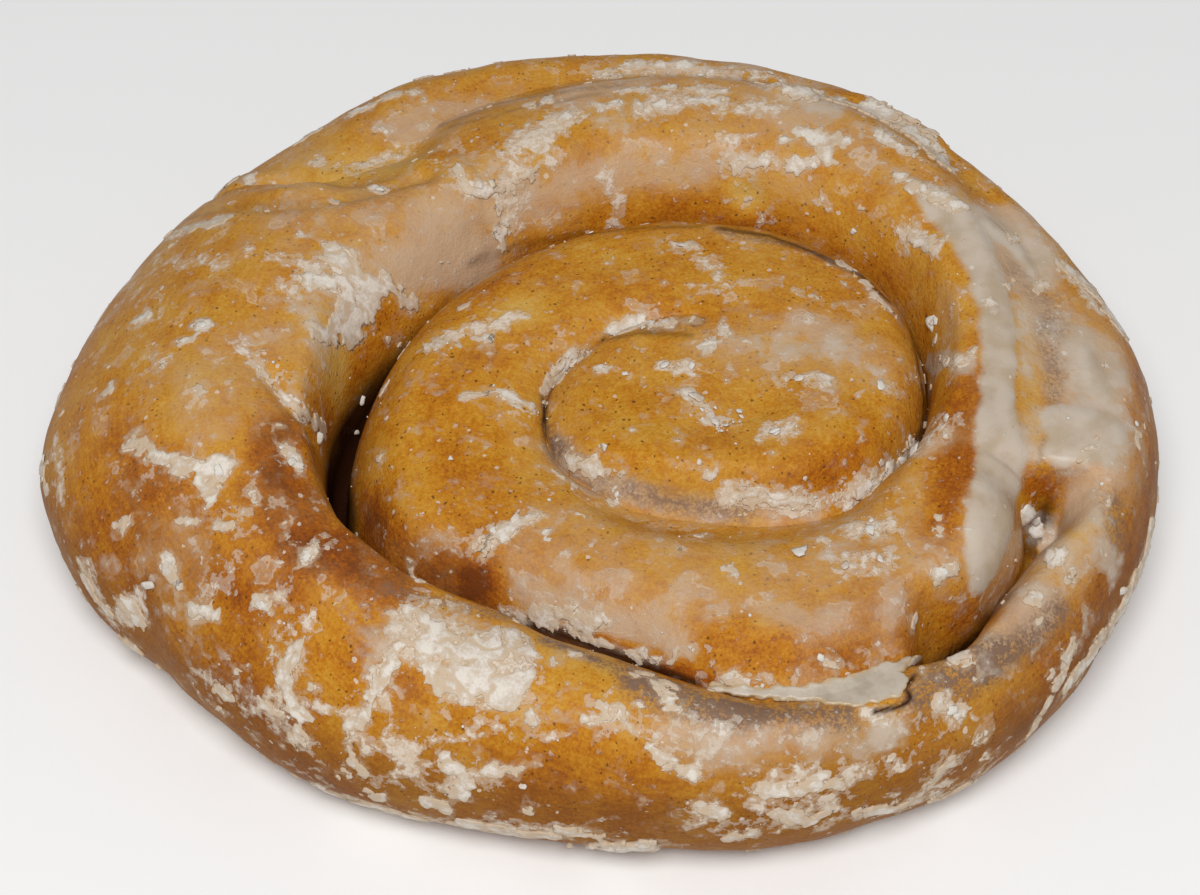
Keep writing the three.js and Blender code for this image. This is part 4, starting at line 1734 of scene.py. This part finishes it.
@dataclass
class BakedDough:
    """The bun itself: one closed mesh, with what each coat does kept for its finish."""

    coil: DoughCoil
    view: PhotoView
    rows_per_turn: int = 480
    steps_across: int = 46
    side_rings: int = 20
    foot_rings: int = 4
    crowding: float = 0.95
    bumps_mm: float = 0.22
    pool_mm: float = 0.30
    # painted shade: more browning deeper in a crease
    crease_shade_toast: float = 0.12
    # painted shade: extra browning on the steep outer rim
    rim_shade_toast: float = 0.35
    film_level: float = 0.30
    film_patches: float = 0.15
    crease_film: float = 0.3
    # painted shade: less film on the steep outer rim, so that it shows darker
    rim_shade_film: float = 0.25
    unseen_residue: float = 0.35
    finish: DoughFinish = field(default_factory=DoughFinish)

    def top_half(self) -> Piece:
        """Models the rope's top, a long strip laid along the coil.

        Returns:
            The strip. It keeps how deep each place is in a crease.
        """
        bearings = self.coil.even_bearings(self.rows_per_turn)
        turns = np.concatenate([bearings[:-1] + FULL_TURN * turn for turn in range(-1, 3)]
                               + [bearings[-1:] + FULL_TURN * 2])
        rows = turns[(turns > self.coil.start) & (turns < self.coil.end + 1e-6)]
        strip = add_grid("dough", len(rows) - 1, self.steps_across)
        along, across = grid_shares(strip)
        turn = rows[np.rint(along * (len(rows) - 1)).astype(int)]
        across = self.coil.spread(turn, 1.0 - across, self.steps_across, self.crowding)
        points, lost = self.coil.top(turn, across)
        put_places(strip.data, points)
        inward = (turn < self.coil.meets_outline) | (across < 0.5)
        keep_values(strip.data, Kept.CREASE, np.where(inward, lost, 0.0))
        keep_values(strip.data, Kept.OUTSIDE, np.where(inward, 0.0, 1.0))
        return strip

    def under_half(self) -> Piece:
        """Models the side that rolls under, and the flat foot.

        Returns:
            Both, as one sheet.
        """
        rings = self.side_rings + self.foot_rings
        sheet = add_grid("dough_side", self.rows_per_turn, rings)
        along, down = grid_shares(sheet)
        down = 1.0 - down
        bearings = self.coil.even_bearings(self.rows_per_turn)
        bearing = bearings[np.rint(along * self.rows_per_turn).astype(int)]
        roll = np.interp(down * rings, (0.0, self.side_rings, rings), (0.0, 1.0, 2.0))
        put_places(sheet.data, self.coil.side(bearing, roll))
        keep_values(sheet.data, Kept.CREASE, np.zeros(len(sheet.data.vertices)))
        keep_values(sheet.data, Kept.OUTSIDE, np.ones(len(sheet.data.vertices)))
        return sheet

    def raise_relief(self, dough: Piece) -> None:
        """Presses folds and ridges into the dough, and makes it uneven.

        Args:
            dough: The dough.
        """
        brush = Brushwork(self.view, tree_of(dough))
        points = places_of(dough.data)
        relief = brush.soft(RELIEF, points)
        relief += self.bumps_mm * lumps(points, 7.0, 3, seed=3)
        pool, _ = brush.inside(MILK, points)
        relief += self.pool_mm * smooth_step(pool, -0.3, 1.2)
        relief *= 1.0 - smooth_step(values_of(dough.data, Kept.CREASE), 4.0, 9.0)
        resting = smooth_step(points[:, 2] / MM, 0.5, 5.0)
        put_places(dough.data, points + normals_of(dough.data) * (relief * resting * MM)[:, None])

    def coat(self, dough: Piece) -> None:
        """Keeps how browned, filmed, smeared and crusted each place is, and where shade is painted
        on the outer rim and in the creases.

        Args:
            dough: The dough.
        """
        mesh = dough.data
        brush = Brushwork(self.view, tree_of(dough))
        points = places_of(mesh)
        normals = normals_of(mesh)
        hidden = hidden_share(self.view, normals) * values_of(mesh, Kept.OUTSIDE)
        crease = values_of(mesh, Kept.CREASE)
        # Painted shade: outward faces darken towards the outer rim as they turn steep, by extra
        # browning, less film and the shadow colour.
        steep = 1.0 - smooth_step(normals[:, 2], 0.0, 0.85)
        rim = values_of(mesh, Kept.OUTSIDE) * steep
        # The browning strokes, with painted shade added as more browning deeper in creases and on
        # the steep outer rim.
        toast_and_shade = brush.soft(TOAST_AND_SHADE, points) + self.crease_shade_toast * smooth_step(crease, 1.0, 8.0)
        toast_and_shade += self.rim_shade_toast * rim
        film = self.film_level + self.film_patches * lumps(points, 9.0, 2, seed=5)
        film -= self.crease_film * smooth_step(crease, 2.0, 8.0)
        film -= self.rim_shade_film * rim
        # Painted shade: strokes along dark creases and cracks, and creases from 9 mm deep, full by
        # 14 mm.
        gap = brush.soft(GAP_SHADE, points) + smooth_step(crease, 9.0, 14.0)
        pool, _ = brush.inside(MILK, points)
        depth, _ = brush.inside(CRUST, points)
        kept = {
            Kept.RIM_SHADE: rim,
            Kept.TOAST_AND_SHADE: toast_and_shade,
            Kept.FILM: film + brush.soft(FILM, points),
            Kept.CINNAMON: brush.soft(CINNAMON, points),
            Kept.HAZE: brush.soft(HAZE, points),
            Kept.RESIDUE: brush.soft(RESIDUE, points) + self.unseen_residue * hidden,
            Kept.MILK: pool,
            Kept.GAP_SHADE: np.minimum(gap, 1.0),
            Kept.CRUST: BrokenEdge().depth(points, depth, hidden),
        }
        for what, values in kept.items():
            keep_values(mesh, what, values)

    def build(self) -> Piece:
        """Models and dresses the dough.

        Returns:
            The dough.
        """
        dough = join((self.top_half(), self.under_half()), "dough_coil")
        weld(dough)
        self.raise_relief(dough)
        self.coat(dough)
        enter(dough, Slot.DOUGH, self.finish.material(), DOUGH_NODE)
        return dough


def hidden_share(view: PhotoView, normals: Array) -> Array:
    """How far surfaces with these normals are turned away from the photograph, from 0 to 1."""
    return 1.0 - smooth_step(normals @ np.array(view.backwards), -0.1, 0.25)


def tree_of(piece: Piece) -> BVHTree:
    """A search tree of the piece's faces."""
    faces = [tuple(face.vertices) for face in piece.data.polygons]
    return BVHTree.FromPolygons(places_of(piece.data).tolist(), faces)


@dataclass(frozen=True)
class BrokenEdge:
    """How the crust's outline departs from its strokes, in millimetres."""

    bays_mm: float = 0.70
    bay_size_mm: float = 2.0
    chips_mm: float = 0.45
    chip_size_mm: float = 1.2
    stray_mm: float = 2.3
    stray_size_mm: float = 3.2
    stray_least_mm: float = 1.75
    unseen_more_mm: float = 0.85

    def depth(self, points: Array, depth: Array, hidden: Array) -> Array:
        """Makes the edges of the strokes ragged and adds stray patches between them.

        Args:
            points: Places in metres, one row each.
            depth: Millimetres inside the strokes.
            hidden: How far each place is turned away from the photograph, from 0 to 1.

        Returns:
            Millimetres inside the crust.
        """
        ragged = depth + self.bays_mm * lumps(points, self.bay_size_mm, 4, seed=11)
        ragged += self.chips_mm * plates(points, self.chip_size_mm, seed=5)[1]
        stray = self.stray_mm * lumps(points, self.stray_size_mm, 4, seed=23)
        return np.maximum(ragged, stray - self.stray_least_mm + self.unseen_more_mm * hidden)


# ---- The glaze ----


@dataclass(frozen=True)
class CrustFinish:
    """Dried sugar glaze: chalky and grainy, and thin enough in places to show tan."""

    name: str = "sugar_crust"
    thin: Colour = (0.56, 0.43, 0.30)
    chalk: Colour = (0.585, 0.50, 0.41)
    bright: Colour = (0.71, 0.645, 0.565)
    roughness: float = 0.6
    shine: float = 0.25
    grain_mm: float = 0.08
    lumps_mm: float = 0.05

    def material(self) -> Material:
        """Builds the material.

        Returns:
            The material.
        """
        material, bench, shader = new_finish(self.name)
        places = bench.millimetres()
        cloud = bench.noise(places, 2.2, 4.0, 0.6)
        fine = bench.noise(places, 0.30, 2.0, 0.65)
        inward = bench.ramp(bench.kept(Kept.DEPTH), 0.0, 0.9)
        level = bench.plus(cloud, (bench.sum("SUBTRACT", fine, 0.5), 0.45), (inward, 0.26))
        level = bench.sum("SUBTRACT", level, 0.14)
        shade = bench.colours(bench.ramp(level, 0.25, 0.85), (0.10, self.thin),
                              (0.40, self.chalk), (0.78, self.bright))
        bench.fill(shader, {"Base Color": shade, "Roughness": self.roughness,
                            "Specular IOR Level": self.shine})
        height = bench.plus(bench.sum("MULTIPLY", fine, self.grain_mm), (cloud, self.lumps_mm))
        bump(bench, shader, height, 0.8)
        return material


@dataclass(frozen=True)
class PoolFinish:
    """Thick milky glaze that ran into a crease: smooth, a little see-through and glossy."""

    edge: Colour = (0.50, 0.36, 0.20)
    grey: Colour = (0.41, 0.34, 0.26)
    milk: Colour = (0.53, 0.46, 0.375)
    roughness: float = 0.38
    lumps_mm: float = 0.16

    def material(self) -> Material:
        """Builds the material.

        Returns:
            The material.
        """
        material, bench, shader = new_finish("milky_glaze")
        places = bench.millimetres()
        cloud = bench.noise(places, 2.8, 4.0, 0.6)
        shade = bench.mix(bench.ramp(cloud, 0.32, 0.62), self.grey, self.milk)
        thick = bench.sum("MULTIPLY_ADD", cloud, 0.5, bench.kept(Kept.DEPTH))
        shade = bench.mix(bench.ramp(thick, 0.20, 0.7), self.edge, shade)
        bench.fill(shader, {"Base Color": shade, "Roughness": self.roughness})
        bump(bench, shader, bench.sum("MULTIPLY", cloud, self.lumps_mm), 0.6)
        return material


def peel(dough: Piece, name: str, wanted: Array, cuts: int) -> Piece:
    """Copies part of the dough's skin, cut finer.

    Args:
        dough: The dough.
        name: The copy's name.
        wanted: Which of the dough's vertices the copy covers.
        cuts: How many cuts are made across each of its faces.

    Returns:
        A sheet of triangles that lies on the dough.
    """
    take(dough)
    bpy.ops.object.duplicate()
    sheet = bpy.context.active_object
    sheet.name = name
    sheet.data.name = name
    mesh = sheet.data
    for kept in [layer.name for layer in mesh.attributes if layer.data_type == "FLOAT"]:
        if kept != Kept.OUTSIDE.value:
            mesh.attributes.remove(mesh.attributes[kept])
    corners = read(mesh.loops, "vertex_index", np.int32)
    firsts = read(mesh.polygons, "loop_start", np.int32)
    unwanted = ~np.logical_or.reduceat(wanted[corners], firsts)
    pick(sheet, "FACE", unwanted)
    bpy.ops.mesh.delete(type="FACE")
    bpy.ops.mesh.select_all(action="SELECT")
    bpy.ops.mesh.subdivide(number_cuts=cuts)
    bpy.ops.mesh.quads_convert_to_tris()
    bpy.ops.object.mode_set(mode="OBJECT")
    return sheet


def trim(sheet: Piece, depth: Array) -> None:
    """Cuts a sheet back to where a depth is above 0, with its rim moved onto that line.

    Args:
        sheet: A sheet of triangles. It keeps the depth of what is left, 0 at the rim.
        depth: Millimetres inside the wanted shape, at each of its vertices.
    """
    mesh = sheet.data
    points = places_of(mesh)
    ends = read(mesh.edges, "vertices", np.int32, wide=2)
    ends = np.concatenate((ends, ends[:, ::-1]))
    inner, outer = ends[(depth[ends[:, 0]] > 0.0) & (depth[ends[:, 1]] <= 0.0)].T
    share = depth[inner] / (depth[inner] - depth[outer])
    crossing = points[inner] + (points[outer] - points[inner]) * share[:, None]
    total = np.zeros_like(points)
    count = np.zeros(len(points))
    np.add.at(total, outer, crossing)
    np.add.at(count, outer, 1.0)
    rim = count > 0.0
    points[rim] = total[rim] / count[rim, None]
    put_places(mesh, points)
    keep_values(mesh, Kept.DEPTH, np.maximum(depth, 0.0))
    pick(sheet, "VERT", (depth <= 0.0) & ~rim)
    bpy.ops.mesh.delete(type="VERT")
    bpy.ops.object.mode_set(mode="OBJECT")
    left = values_of(mesh, Kept.DEPTH)
    corners = read(mesh.polygons, "vertices", np.int32, wide=3)
    pick(sheet, "FACE", np.all(left[corners] <= 0.0, axis=1))
    bpy.ops.mesh.delete(type="FACE")
    bpy.ops.mesh.select_all(action="SELECT")
    bpy.ops.mesh.delete_loose()
    bpy.ops.mesh.select_mode(type="VERT")
    bpy.ops.object.mode_set(mode="OBJECT")


def thicken(sheet: Piece, raised: Array, sunk: Array) -> None:
    """Makes a sheet a closed shell.

    Args:
        sheet: The sheet.
        raised: How far each vertex moves to make the shell's outer skin, in metres.
        sunk: How far it moves to make the inner skin.
    """
    mesh = sheet.data
    for name, moves in (("raised", raised), ("sunk", sunk)):
        layer = mesh.attributes.new(name, "FLOAT_VECTOR", "POINT")
        layer.data.foreach_set("vector", np.asarray(moves, dtype=np.float32).ravel())
    pick(sheet, "FACE", np.ones(len(mesh.polygons), dtype=bool))
    bpy.ops.mesh.extrude_region_move()
    bpy.ops.object.mode_set(mode="OBJECT")
    outer = read(mesh.vertices, "select", bool)
    moves = []
    for name in ("raised", "sunk"):
        moves.append(read(mesh.attributes[name].data, "vector", wide=3))
        mesh.attributes.remove(mesh.attributes[name])
    put_places(mesh, places_of(mesh) + np.where(outer[:, None], moves[0], moves[1]))
    weld(sheet, within=1e-7)


@dataclass
class SugarCrust:
    """The white crust: shells of dried glaze on the dough, one for each side of the bun."""

    view: PhotoView
    cuts: int = 2
    thickness_mm: float = 0.20
    rim_share: float = 0.75
    rounding_mm: float = 0.5
    sunk_mm: float = 0.10
    nibbles_mm: float = 0.45
    nibble_size_mm: float = 0.8
    plate_mm: float = 5.0
    crack_mm: float = 0.08
    crack_slope: float = 3.0
    crack_bend_mm: float = 1.6
    bend_size_mm: float = 2.5
    lumpy_share: float = 0.3
    lump_size_mm: float = 1.8
    grain_mm: float = 0.05
    grain_size_mm: float = 0.8
    front_y: float = -0.030
    left_x: float = -0.012
    finish: CrustFinish = field(default_factory=CrustFinish)

    def shell(self, dough: Piece, brush: Brushwork, name: str, part: Array) -> Piece:
        """Models and dresses one shell.

        Args:
            dough: The dough that it lies on.
            brush: The brushwork on that dough.
            name: The piece's name.
            part: Which of the dough's vertices this piece may cover.

        Returns:
            The finished piece.
        """
        covered = (values_of(dough.data, Kept.CRUST) > -MARGIN_MM) & part
        sheet = peel(dough, name, covered, self.cuts)
        points = places_of(sheet.data)
        hidden = hidden_share(self.view, normals_of(sheet.data))
        hidden *= values_of(sheet.data, Kept.OUTSIDE)
        depth, strength = brush.inside(CRUST, points)
        depth = BrokenEdge().depth(points, depth, hidden)
        depth += self.nibbles_mm * lumps(points, self.nibble_size_mm, 3, seed=31)
        bends = [lumps(points, self.bend_size_mm, 2, seed) for seed in (51, 52, 53)]
        astray = points + np.stack(bends, axis=1) * self.crack_bend_mm * MM
        gaps, _ = plates(astray, self.plate_mm, seed=2)
        depth = np.minimum(depth, (gaps - self.crack_mm) * self.crack_slope)
        keep_values(sheet.data, Kept.STRENGTH, strength)
        trim(sheet, depth)
        points = places_of(sheet.data)
        depth = values_of(sheet.data, Kept.DEPTH)
        full = smooth_step(depth, 0.0, self.rounding_mm)
        thickness = self.thickness_mm * (self.rim_share + (1.0 - self.rim_share) * full)
        thickness *= values_of(sheet.data, Kept.STRENGTH)
        thickness *= 1.0 + self.lumpy_share * lumps(points, self.lump_size_mm, 3, seed=7)
        thickness += self.grain_mm * np.abs(lumps(points, self.grain_size_mm, 2, seed=9))
        normals = normals_of(sheet.data)
        thicken(sheet, normals * thickness[:, None] * MM, normals * -self.sunk_mm * MM)
        enter(sheet, Slot.GLAZE, self.finish.material())
        return sheet

    def build(self, dough: Piece) -> list[Piece]:
        """Models and dresses all shells.

        Args:
            dough: The dough that they lie on.

        Returns:
            The shells.
        """
        brush = Brushwork(self.view, tree_of(dough))
        points = places_of(dough.data)
        front = points[:, 1] < self.front_y
        left = points[:, 0] < self.left_x
        return [
            self.shell(dough, brush, "crust_front", front),
            self.shell(dough, brush, "crust_left", left & ~front),
            self.shell(dough, brush, "crust_right", ~left & ~front),
        ]


@dataclass
class GlazeSheet:
    """The sheet of glaze that bridges the crease at the front."""

    cuts: int = 2
    coat_mm: float = 0.14
    most_mm: float = 1.4
    rim_mm: float = 0.25
    blend_mm: float = 0.5
    sunk_mm: float = 0.12
    level_mm: float = 22.9
    torn_mm: float = 0.35
    torn_size_mm: float = 1.2
    finish: PoolFinish = field(default_factory=PoolFinish)

    def build(self, dough: Piece, view: PhotoView) -> Piece:
        """Models and dresses the sheet.

        Args:
            dough: The dough that it lies on.
            view: The photograph's view.

        Returns:
            The sheet.
        """
        brush = Brushwork(view, tree_of(dough))
        near, _ = brush.inside(POOL, places_of(dough.data))
        sheet = peel(dough, "glaze_sheet", near > -MARGIN_MM, self.cuts)
        points = places_of(sheet.data)
        depth, _ = brush.inside(POOL, points)
        trim(sheet, depth + self.torn_mm * lumps(points, self.torn_size_mm, 4, seed=41))
        points = places_of(sheet.data)
        height = points[:, 2] / MM
        level = np.full(len(points), self.level_mm)
        full = soft_max(height + self.coat_mm, level, self.blend_mm) - height
        rounded = smooth_step(values_of(sheet.data, Kept.DEPTH), -0.3, self.rim_mm)
        raised = np.minimum(full, self.most_mm) * rounded
        up = normals_of(sheet.data) * 0.5 + np.array((0.0, 0.0, 0.5))
        thicken(sheet, up * raised[:, None] * MM, normals_of(sheet.data) * -self.sunk_mm * MM)
        enter(sheet, Slot.GLAZE, self.finish.material())
        return sheet


@dataclass(frozen=True)
class Perch:
    """Where a loose bit lies: a place on the dough and the dough's normal there."""

    place: Array
    normal: Array


@dataclass
class LooseBits:
    """Loose flakes and crumbs of dried glaze, each kind modelled once and copied."""

    flake_doublings: int = 7
    crumb_doublings: int = 8
    flake_sides: int = 20
    flake_sizes_mm: tuple[float, float] = (0.35, 1.2)
    crumb_sizes_mm: tuple[float, float] = (0.06, 0.18)
    flake_thickness_mm: tuple[float, float] = (0.12, 0.26)
    flake_lean_deg: tuple[float, float] = (2.0, 24.0)
    flake_cup: tuple[float, float] = (-0.10, 0.28)
    flake_grain_mm: float = 0.02
    flake_rarity: float = 1.6
    crumb_rarity: float = 1.5
    flake_chance: float = 0.06
    crumb_chance: float = 0.05
    towards_view: float = 0.7
    seed: int = 20
    lying: tuple[tuple[float, Pixel], ...] = (
        (2.6, (800, 552)), (1.5, (943, 572)), (1.5, (1057, 557)), (0.9, (1070, 578)),
        (1.2, (1032, 598)), (1.8, (952, 709)), (2.2, (870, 530)), (1.6, (172, 575)),
        (1.5, (204, 609)), (1.3, (201, 325)), (1.1, (381, 190)), (1.5, (716, 421)),
        (1.7, (696, 398)), (1.7, (882, 386)), (1.1, (933, 323)), (1.1, (307, 557)),
        (1.3, (664, 366)), (1.2, (692, 366)), (1.0, (626, 374)), (1.4, (776, 432)),
        (1.5, (800, 378)), (1.2, (936, 322)), (1.5, (680, 246)), (1.2, (740, 412)),
        (1.3, (1036, 520)), (1.6, (845, 566)), (1.4, (218, 470)), (1.3, (880, 560)),
        (1.0, (523, 786)), (1.2, (493, 530)), (1.6, (150, 585)), (1.4, (262, 604)),
        (3.0, (1024, 514)), (2.4, (1036, 531)), (2.3, (932, 324)), (1.4, (947, 418)),
        (2.2, (888, 472)), (1.9, (901, 462)), (1.8, (914, 452)), (1.7, (868, 485)),
        (1.6, (318, 438)), (1.2, (362, 400)), (1.0, (356, 432)), (1.5, (292, 462)),
        (1.3, (306, 556)), (1.6, (1122, 590)), (1.8, (1090, 655)), (1.2, (478, 186)),
    )

    @staticmethod
    def perches(dough: Piece, count: int, chances: Array, draw: np.random.Generator) -> list[Perch]:
        """Picks places on the dough.

        Args:
            dough: The dough.
            count: How many places.
            chances: How likely each of the dough's vertices is.
            draw: Where the random numbers come from.

        Returns:
            The places.
        """
        picked = draw.choice(len(chances), count, replace=False, p=chances / chances.sum())
        points, normals = places_of(dough.data)[picked], normals_of(dough.data)[picked]
        return [Perch(point, normal) for point, normal in zip(points, normals)]

    @staticmethod
    def small_sizes(limits: tuple[float, float], count: int, rarity: float,
                    draw: np.random.Generator) -> Array:
        """Sizes between two limits, the larger ones rarer."""
        low, high = limits
        return low * (high / low) ** draw.uniform(0.0, 1.0, count) ** rarity

    def outline(self, angle: Array, draw: np.random.Generator) -> Array:
        """Breaks a flake's outline.

        Args:
            angle: Directions from its middle, in radians.
            draw: Where the random numbers come from.

        Returns:
            How far out the edge is in each direction, at most a little over 1.
        """
        sides = draw.integers(4, 7)
        facing = np.arange(sides) + draw.uniform(-0.3, 0.3, sides)
        facing = facing * math.tau / sides + draw.uniform(0.0, math.tau)
        reach = draw.uniform(0.45, 1.0, sides)
        towards = np.maximum(np.cos(angle[:, None] - facing), 0.15)
        corners = np.minimum((reach / towards).min(axis=1), 1.2)
        step = np.rint(angle / math.tau * self.flake_sides).astype(int) % self.flake_sides
        return corners * draw.uniform(0.88, 1.08, self.flake_sides)[step]

    @staticmethod
    def stand(shape: Array, perch: Perch, tilt: float, spin: float) -> Array:
        """Turns a shape in metres to lie on its perch.

        Args:
            shape: The shape's vertices, with its underside at height 0.
            perch: Where it lies.
            tilt: How far it leans, in radians.
            spin: Which way it leans, in radians.

        Returns:
            The vertices in their place.
        """
        lean = np.array(Matrix.Rotation(tilt, 3, "X") @ Matrix.Rotation(spin, 3, "Z"))
        turn = np.array(Vector(perch.normal).to_track_quat("Z", "Y").to_matrix())
        leaning = shape @ lean.T
        leaning[:, 2] -= leaning[:, 2].min() * 0.8
        return leaning @ turn.T + perch.place

    def flakes(self, perches: list[Perch], sizes: Array, draw: np.random.Generator) -> Piece:
        """Models one flake, copies it and breaks each copy its own way.

        Args:
            perches: Where the flakes lie.
            sizes: How wide each one is, in millimetres.
            draw: Where the random numbers come from.

        Returns:
            All the flakes.
        """
        deselect_all()
        bpy.ops.mesh.primitive_cylinder_add(vertices=self.flake_sides, radius=1.0, depth=1.0)
        flake = bpy.context.active_object
        flake.name = "loose_flakes"
        pick(flake, "FACE", np.array([len(face.vertices) > 4 for face in flake.data.polygons]))
        bpy.ops.mesh.inset(thickness=0.45)
        bpy.ops.mesh.poke()
        bpy.ops.mesh.select_mode(type="VERT")
        bpy.ops.object.mode_set(mode="OBJECT")
        single = places_of(flake.data)
        multiply(flake, self.flake_doublings)
        radius = np.hypot(single[:, 0], single[:, 1])
        angle = np.arctan2(single[:, 1], single[:, 0]) % math.tau
        placed = []
        for perch, size in zip(perches, sizes):
            shape = single.copy()
            shape[:, :2] *= (self.outline(angle, draw) * size / 2.0)[:, None]
            across = shape[:, 0] * math.cos(angle[0]) + shape[:, 1] * 0.5
            thickness = draw.uniform(*self.flake_thickness_mm) * (1.15 - 0.45 * radius)
            shape[:, 2] = (single[:, 2] + 0.5) * thickness
            shape[:, 2] += across ** 2 * draw.uniform(*self.flake_cup) / max(size, 0.6)
            shape[:, 2] += draw.uniform(-1.0, 1.0, len(shape)) * self.flake_grain_mm
            tilt = math.radians(draw.uniform(*self.flake_lean_deg))
            placed.append(self.stand(shape * MM, perch, tilt, draw.uniform(0.0, math.tau)))
        put_places(flake.data, np.concatenate(placed))
        return flake

    def crumbs(self, perches: list[Perch], sizes: Array, draw: np.random.Generator) -> Piece:
        """Models one crumb, copies it and dents each copy its own way.

        Args:
            perches: Where the crumbs lie.
            sizes: The radius of each one, in millimetres.
            draw: Where the random numbers come from.

        Returns:
            All the crumbs.
        """
        deselect_all()
        bpy.ops.mesh.primitive_ico_sphere_add(subdivisions=1, radius=1.0)
        crumb = bpy.context.active_object
        crumb.name = "sugar_crumbs"
        single = places_of(crumb.data)
        multiply(crumb, self.crumb_doublings)
        placed = []
        for perch, size in zip(perches, sizes):
            shape = single * draw.uniform(0.6, 1.25, (len(single), 1))
            shape = shape * size * np.array((1.0, draw.uniform(0.6, 1.0), 0.6))
            placed.append(self.stand(shape * MM, perch, 0.0, draw.uniform(0.0, math.tau)))
        put_places(crumb.data, np.concatenate(placed))
        return crumb

    def build(self, dough: Piece, view: PhotoView) -> list[Piece]:
        """Models and dresses both kinds.

        Args:
            dough: The dough that they lie on.
            view: The photograph's view.

        Returns:
            The flakes and the crumbs.
        """
        draw = np.random.default_rng(self.seed)
        brush = Brushwork(view, tree_of(dough))
        upright = smooth_step(normals_of(dough.data)[:, 2], -0.3, 0.4)
        residue = np.clip(values_of(dough.data, Kept.RESIDUE), 0.0, 1.0)
        crust = smooth_step(values_of(dough.data, Kept.CRUST), -1.5, 0.0)

        laid = []
        for _, pixel in self.lying:
            place, normal = brush.land(pixel)
            steep = 1.0 - min(max(normal.z, 0.0), 1.0)
            turned = normal.lerp(view.backwards, self.towards_view * steep)
            laid.append(Perch(np.array(place), np.array(turned)))
        count = 2 ** self.flake_doublings
        more = count - len(laid)
        laid += self.perches(dough, more, upright * (self.flake_chance + residue + crust), draw)
        small = self.small_sizes(self.flake_sizes_mm, more, self.flake_rarity, draw)
        sizes = np.concatenate(([size for size, _ in self.lying], small))
        flakes = self.flakes(laid, sizes, draw)

        count = 2 ** self.crumb_doublings
        sizes = self.small_sizes(self.crumb_sizes_mm, count, self.crumb_rarity, draw)
        chances = upright * (self.crumb_chance + residue + crust)
        crumbs = self.crumbs(self.perches(dough, count, chances, draw), sizes, draw)
        finish = CrustFinish("loose_sugar", bright=(0.70, 0.66, 0.60)).material()
        for piece in (flakes, crumbs):
            keep_values(piece.data, Kept.DEPTH, np.ones(len(piece.data.vertices)))
            weld(piece, within=1e-8)
            enter(piece, Slot.GLAZE, finish)
        return [flakes, crumbs]


# ---- The studio ----


@dataclass(frozen=True)
class Studio:
    """A pale floor, a soft light and a bright room around the bun."""

    floor_size: float = 4.0
    floor_shade: Colour = (0.93, 0.93, 0.93)
    room_shade: Colour = (1.0, 1.0, 1.0)
    room_strength: float = 0.26
    lamp_place: Place = (-0.02, -0.40, 0.70)
    lamp_size: float = 0.40
    lamp_power: float = 5.15

    def floor(self) -> None:
        """Adds the floor."""
        deselect_all()
        bpy.ops.mesh.primitive_plane_add(size=self.floor_size)
        floor = bpy.context.active_object
        floor.name = "floor"
        material, bench, shader = new_finish("pale_floor")
        bench.fill(shader, {"Base Color": self.floor_shade, "Roughness": 0.9})
        floor.data.materials.append(material)

    def lamp(self) -> None:
        """Adds the soft light that faces the bun."""
        deselect_all()
        turn = Vector(self.lamp_place).to_track_quat("Z", "Y").to_euler()
        bpy.ops.object.light_add(type="AREA", location=self.lamp_place, rotation=turn)
        lamp = bpy.context.active_object
        lamp.name = "soft_key"
        lamp.data.shape = "DISK"
        lamp.data.size = self.lamp_size
        lamp.data.energy = self.lamp_power

    def build(self) -> None:
        """Lights the scene."""
        scene = bpy.context.scene
        scene.view_settings.view_transform = "Standard"
        world = bpy.data.worlds.new("bright_room")
        world.use_nodes = True
        backdrop = world.node_tree.nodes["Background"]
        backdrop.inputs["Color"].default_value = (*self.room_shade, 1.0)
        backdrop.inputs["Strength"].default_value = self.room_strength
        scene.world = world
        self.floor()
        self.lamp()


# ---- All of it ----


def main() -> None:
    """Builds the bun, its coats and the studio, in order."""
    logging.basicConfig(level=logging.INFO, format="%(name)s: %(message)s")
    view = PhotoView()
    view.build()
    Studio().build()
    dough = BakedDough(DoughCoil(), view).build()
    GlazeSheet().build(dough, view)
    SugarCrust(view).build(dough)
    LooseBits().build(dough, view)


if __name__ == "__main__":
    main()
